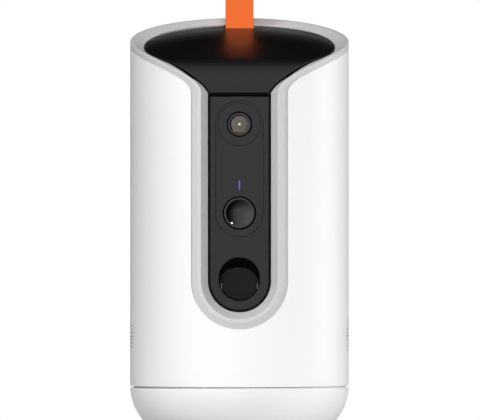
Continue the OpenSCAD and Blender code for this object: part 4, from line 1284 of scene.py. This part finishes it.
def make_pieces():
    """Builds the outer pieces and sets them in place of their solids."""
    made = [
        (outer_shell(), "white_plastic", "body", ["outer_shell"]),
        (trim(), "grey_trim", "body", ["trim_bezel"]),
        (base(), "white_plastic", "body", ["base_bowl"]),
        (sensor_window(), "panel_black", "body", ["sensor_window"]),
        (camera_bezel(), "panel_black", "body", ["camera_bezel"]),
        (lens_dome(), "lens_glass", "body", ["lens_glass"]),
        (lid(), "gloss_black", "lid", ["lid_cover"]),
    ]
    for obj, slot, body, stands_for in made:
        dress(obj, [slot], body, slot, stands_for)
    dress(lens_ring(), ["button_black"], "body", "panel_black", ["lens_barrel"])
    panel_looks = ["panel_black", "flap_face", "gap_black", "inner_black"]
    dress(front_panel(), panel_looks, "body", "panel_black", ["front_panel"])
    dress(button(), ["button_black", "inner_black"], "button", "button_black", ["front_button"])
    dress(flap(), ["flap_face", "inner_black", "rib_painted_glint"], "flap", "panel_black", ["treat_flap"])
    dress(strap(), ["strap_orange", "strap_edge"], "lid", "strap_orange", ["pull_strap"], 60)


# Floor, light and camera


def area_lamp(name, turn, rise, watts, far=LAMP_FAR, size=LAMP_SIZE, glint=False):
    """Soft lamp aimed at the object, turned to the right of the camera and raised, in degrees."""
    light = bpy.data.lights.new(name, "AREA")
    light.shape = "RECTANGLE"
    light.size, light.size_y = size
    light.energy = watts
    lamp = add_object(name, light)
    a, e = radians(turn), radians(rise)
    away = Vector((sin(a) * cos(e), -cos(a) * cos(e), sin(e)))
    lamp.location = Vector((0, 0, LAMP_AIM)) + away * far
    lamp.rotation_euler = away.to_track_quat("Z", "Y").to_euler()
    lamp.visible_glossy = glint
    lamp.visible_diffuse = not glint


def lamps():
    """Soft lamps all round, and a small one that only gloss mirrors."""
    area_lamp("front_lamp", 12, 12, 14.4)
    area_lamp("upper_lamp", -10, 46, 4.8)
    area_lamp("left_lamp", -60, 38, 10.7)
    area_lamp("right_lamp", 96, 5, 11.0)
    area_lamp("glint_lamp", 50, 44, 0.9, far=0.62, size=(0.13, 0.06), glint=True)
    for side in (-1, 1):
        area_lamp(f"back_lamp{side}", 145 * side, 15, 4.4)


def white_world():
    """White to the camera, to mirrors and through glass, and a dim even light elsewhere."""
    world = bpy.data.worlds.new("studio")
    bpy.context.scene.world = world
    world.use_nodes = True
    tree = world.node_tree
    tree.nodes.clear()
    path = node(tree, "ShaderNodeLightPath").outputs
    seen = path["Is Camera Ray"]
    for other in ("Is Glossy Ray", "Is Transmission Ray"):
        seen = number_math(tree, "MAXIMUM", seen, path[other])
    strength = ranged(tree, seen, AMBIENT, 1.0)
    background = node(tree, "ShaderNodeBackground", {"Color": WHITE, "Strength": strength})
    node(tree, "ShaderNodeOutputWorld", {"Surface": background.outputs["Background"]})


def glow(tree, strength):
    """White light that a surface gives off."""
    return node(tree, "ShaderNodeEmission", {"Color": WHITE, "Strength": strength}).outputs["Emission"]


def card_material(name, along, dark_at, light_at, dark, light):
    """Card tone that changes evenly along a direction, between two distances in millimetres."""
    material, tree, _, place = start_material(name)
    far = vector_math(tree, "DOT_PRODUCT", place, Vector(along).normalized())
    tone = ranged(tree, far, dark, light, dark_at * MM, light_at * MM)
    fill(tree, tree.nodes["Material Output"], {"Surface": glow(tree, tone)})
    return material


def studio_card(name, rows, along, dark_at, light_at, dark=0.0, light=1.0):
    """Graded studio card that only gloss mirrors."""
    shape = Shape()
    shape.rows(rows)
    obj = solid(name, shape)
    obj.data.materials.append(card_material(name, along, dark_at, light_at, dark, light))
    obj.visible_camera = False
    obj.visible_diffuse = False
    obj.visible_shadow = False


def card_wall(start, end, high, count=24):
    """Upright curved sheet between two turns to the right of the camera, in degrees."""
    turns = [radians(a) for a in steps(start, end, count)]
    heights = (CARD_LOW, high)
    return [[(CARD_R * sin(a), -CARD_R * cos(a), z) for a in turns] for z in heights]


def studio_cards():
    """Dark sweep behind and over the lid, walls at the sides and a mat in front."""
    curve = arc(0, 150, CARD_R + 50, -14, 104, 48)
    sweep = [[(x, y, z) for y, z in curve] for x in (-1200, 1200)]
    studio_card("back_sweep", sweep, (0, -1, 0), -350, 170)
    studio_card("left_wall", card_wall(-64, -128, 900), (0, -1, 0), -60, 280)
    studio_card("left_soft", card_wall(-6, -62, 900), (-1, 0, 0), 60, 450, 1.0, 1.4)
    studio_card("right_wall", card_wall(8, 84, 1000), (-1, 0, 0), -520, -100)
    studio_card("right_soft", card_wall(86, 118, 900), (0, 1, 0), -45, 305, 2.3, 1.8)
    mat = [[(x, -60, CARD_LOW), (x, -900, CARD_LOW)] for x in (-500, 640)]
    studio_card("front_mat", mat, (-0.644, -0.765, 0), 60, 290)


def floor_material():
    """Pale matt surface that fades to white for the camera, away from the object."""
    material, tree, shader, place = start_material("pale_floor")
    fill(tree, shader, {
        "Base Color": (*grey(0.62), 1.0),
        "Roughness": 0.7,
        "Specular IOR Level": 0.2,
    })
    far = vector_math(tree, "LENGTH", place)
    fade = ranged(tree, far, 0.0, 1.0, FADE_FROM, FADE_TO, "SMOOTHSTEP")
    path = node(tree, "ShaderNodeLightPath").outputs
    share = number_math(tree, "MULTIPLY", fade, path["Is Camera Ray"])
    looks = {"Fac": share, 1: shader.outputs["BSDF"], 2: glow(tree, 1.0)}
    mix = node(tree, "ShaderNodeMixShader", looks)
    fill(tree, tree.nodes["Material Output"], {"Surface": mix.outputs["Shader"]})
    return material


def floor():
    """Round pale floor."""
    shape = spun([(r, 0.0) for r in FLOOR_RINGS], about("z"), FLOOR_SIDES)
    shape.face(range(FLOOR_SIDES))
    obj = solid("floor", shape)
    obj.data.materials.append(floor_material())


def camera():
    """Camera with a very long lens, straight in front and a little raised."""
    data = bpy.data.cameras.new("camera")
    data.lens = LENS_MM
    data.sensor_width = SENSOR_MM
    data.clip_end = CLIP_M
    obj = add_object("camera", data)
    far = FRAME_WIDE * LENS_MM / SENSOR_MM
    away = Vector((0.0, -cos(CAMERA_TILT), sin(CAMERA_TILT)))
    place = Matrix.Translation((Vector(FRAME_MID) + away * far) * MM)
    obj.matrix_world = place @ Matrix.Rotation(QUARTER - CAMERA_TILT, 4, "X")
    bpy.context.scene.camera = obj


bpy.context.scene.view_settings.view_transform = "Standard"
dress_solids()
make_pieces()
white_world()
floor()
studio_cards()
lamps()
camera()
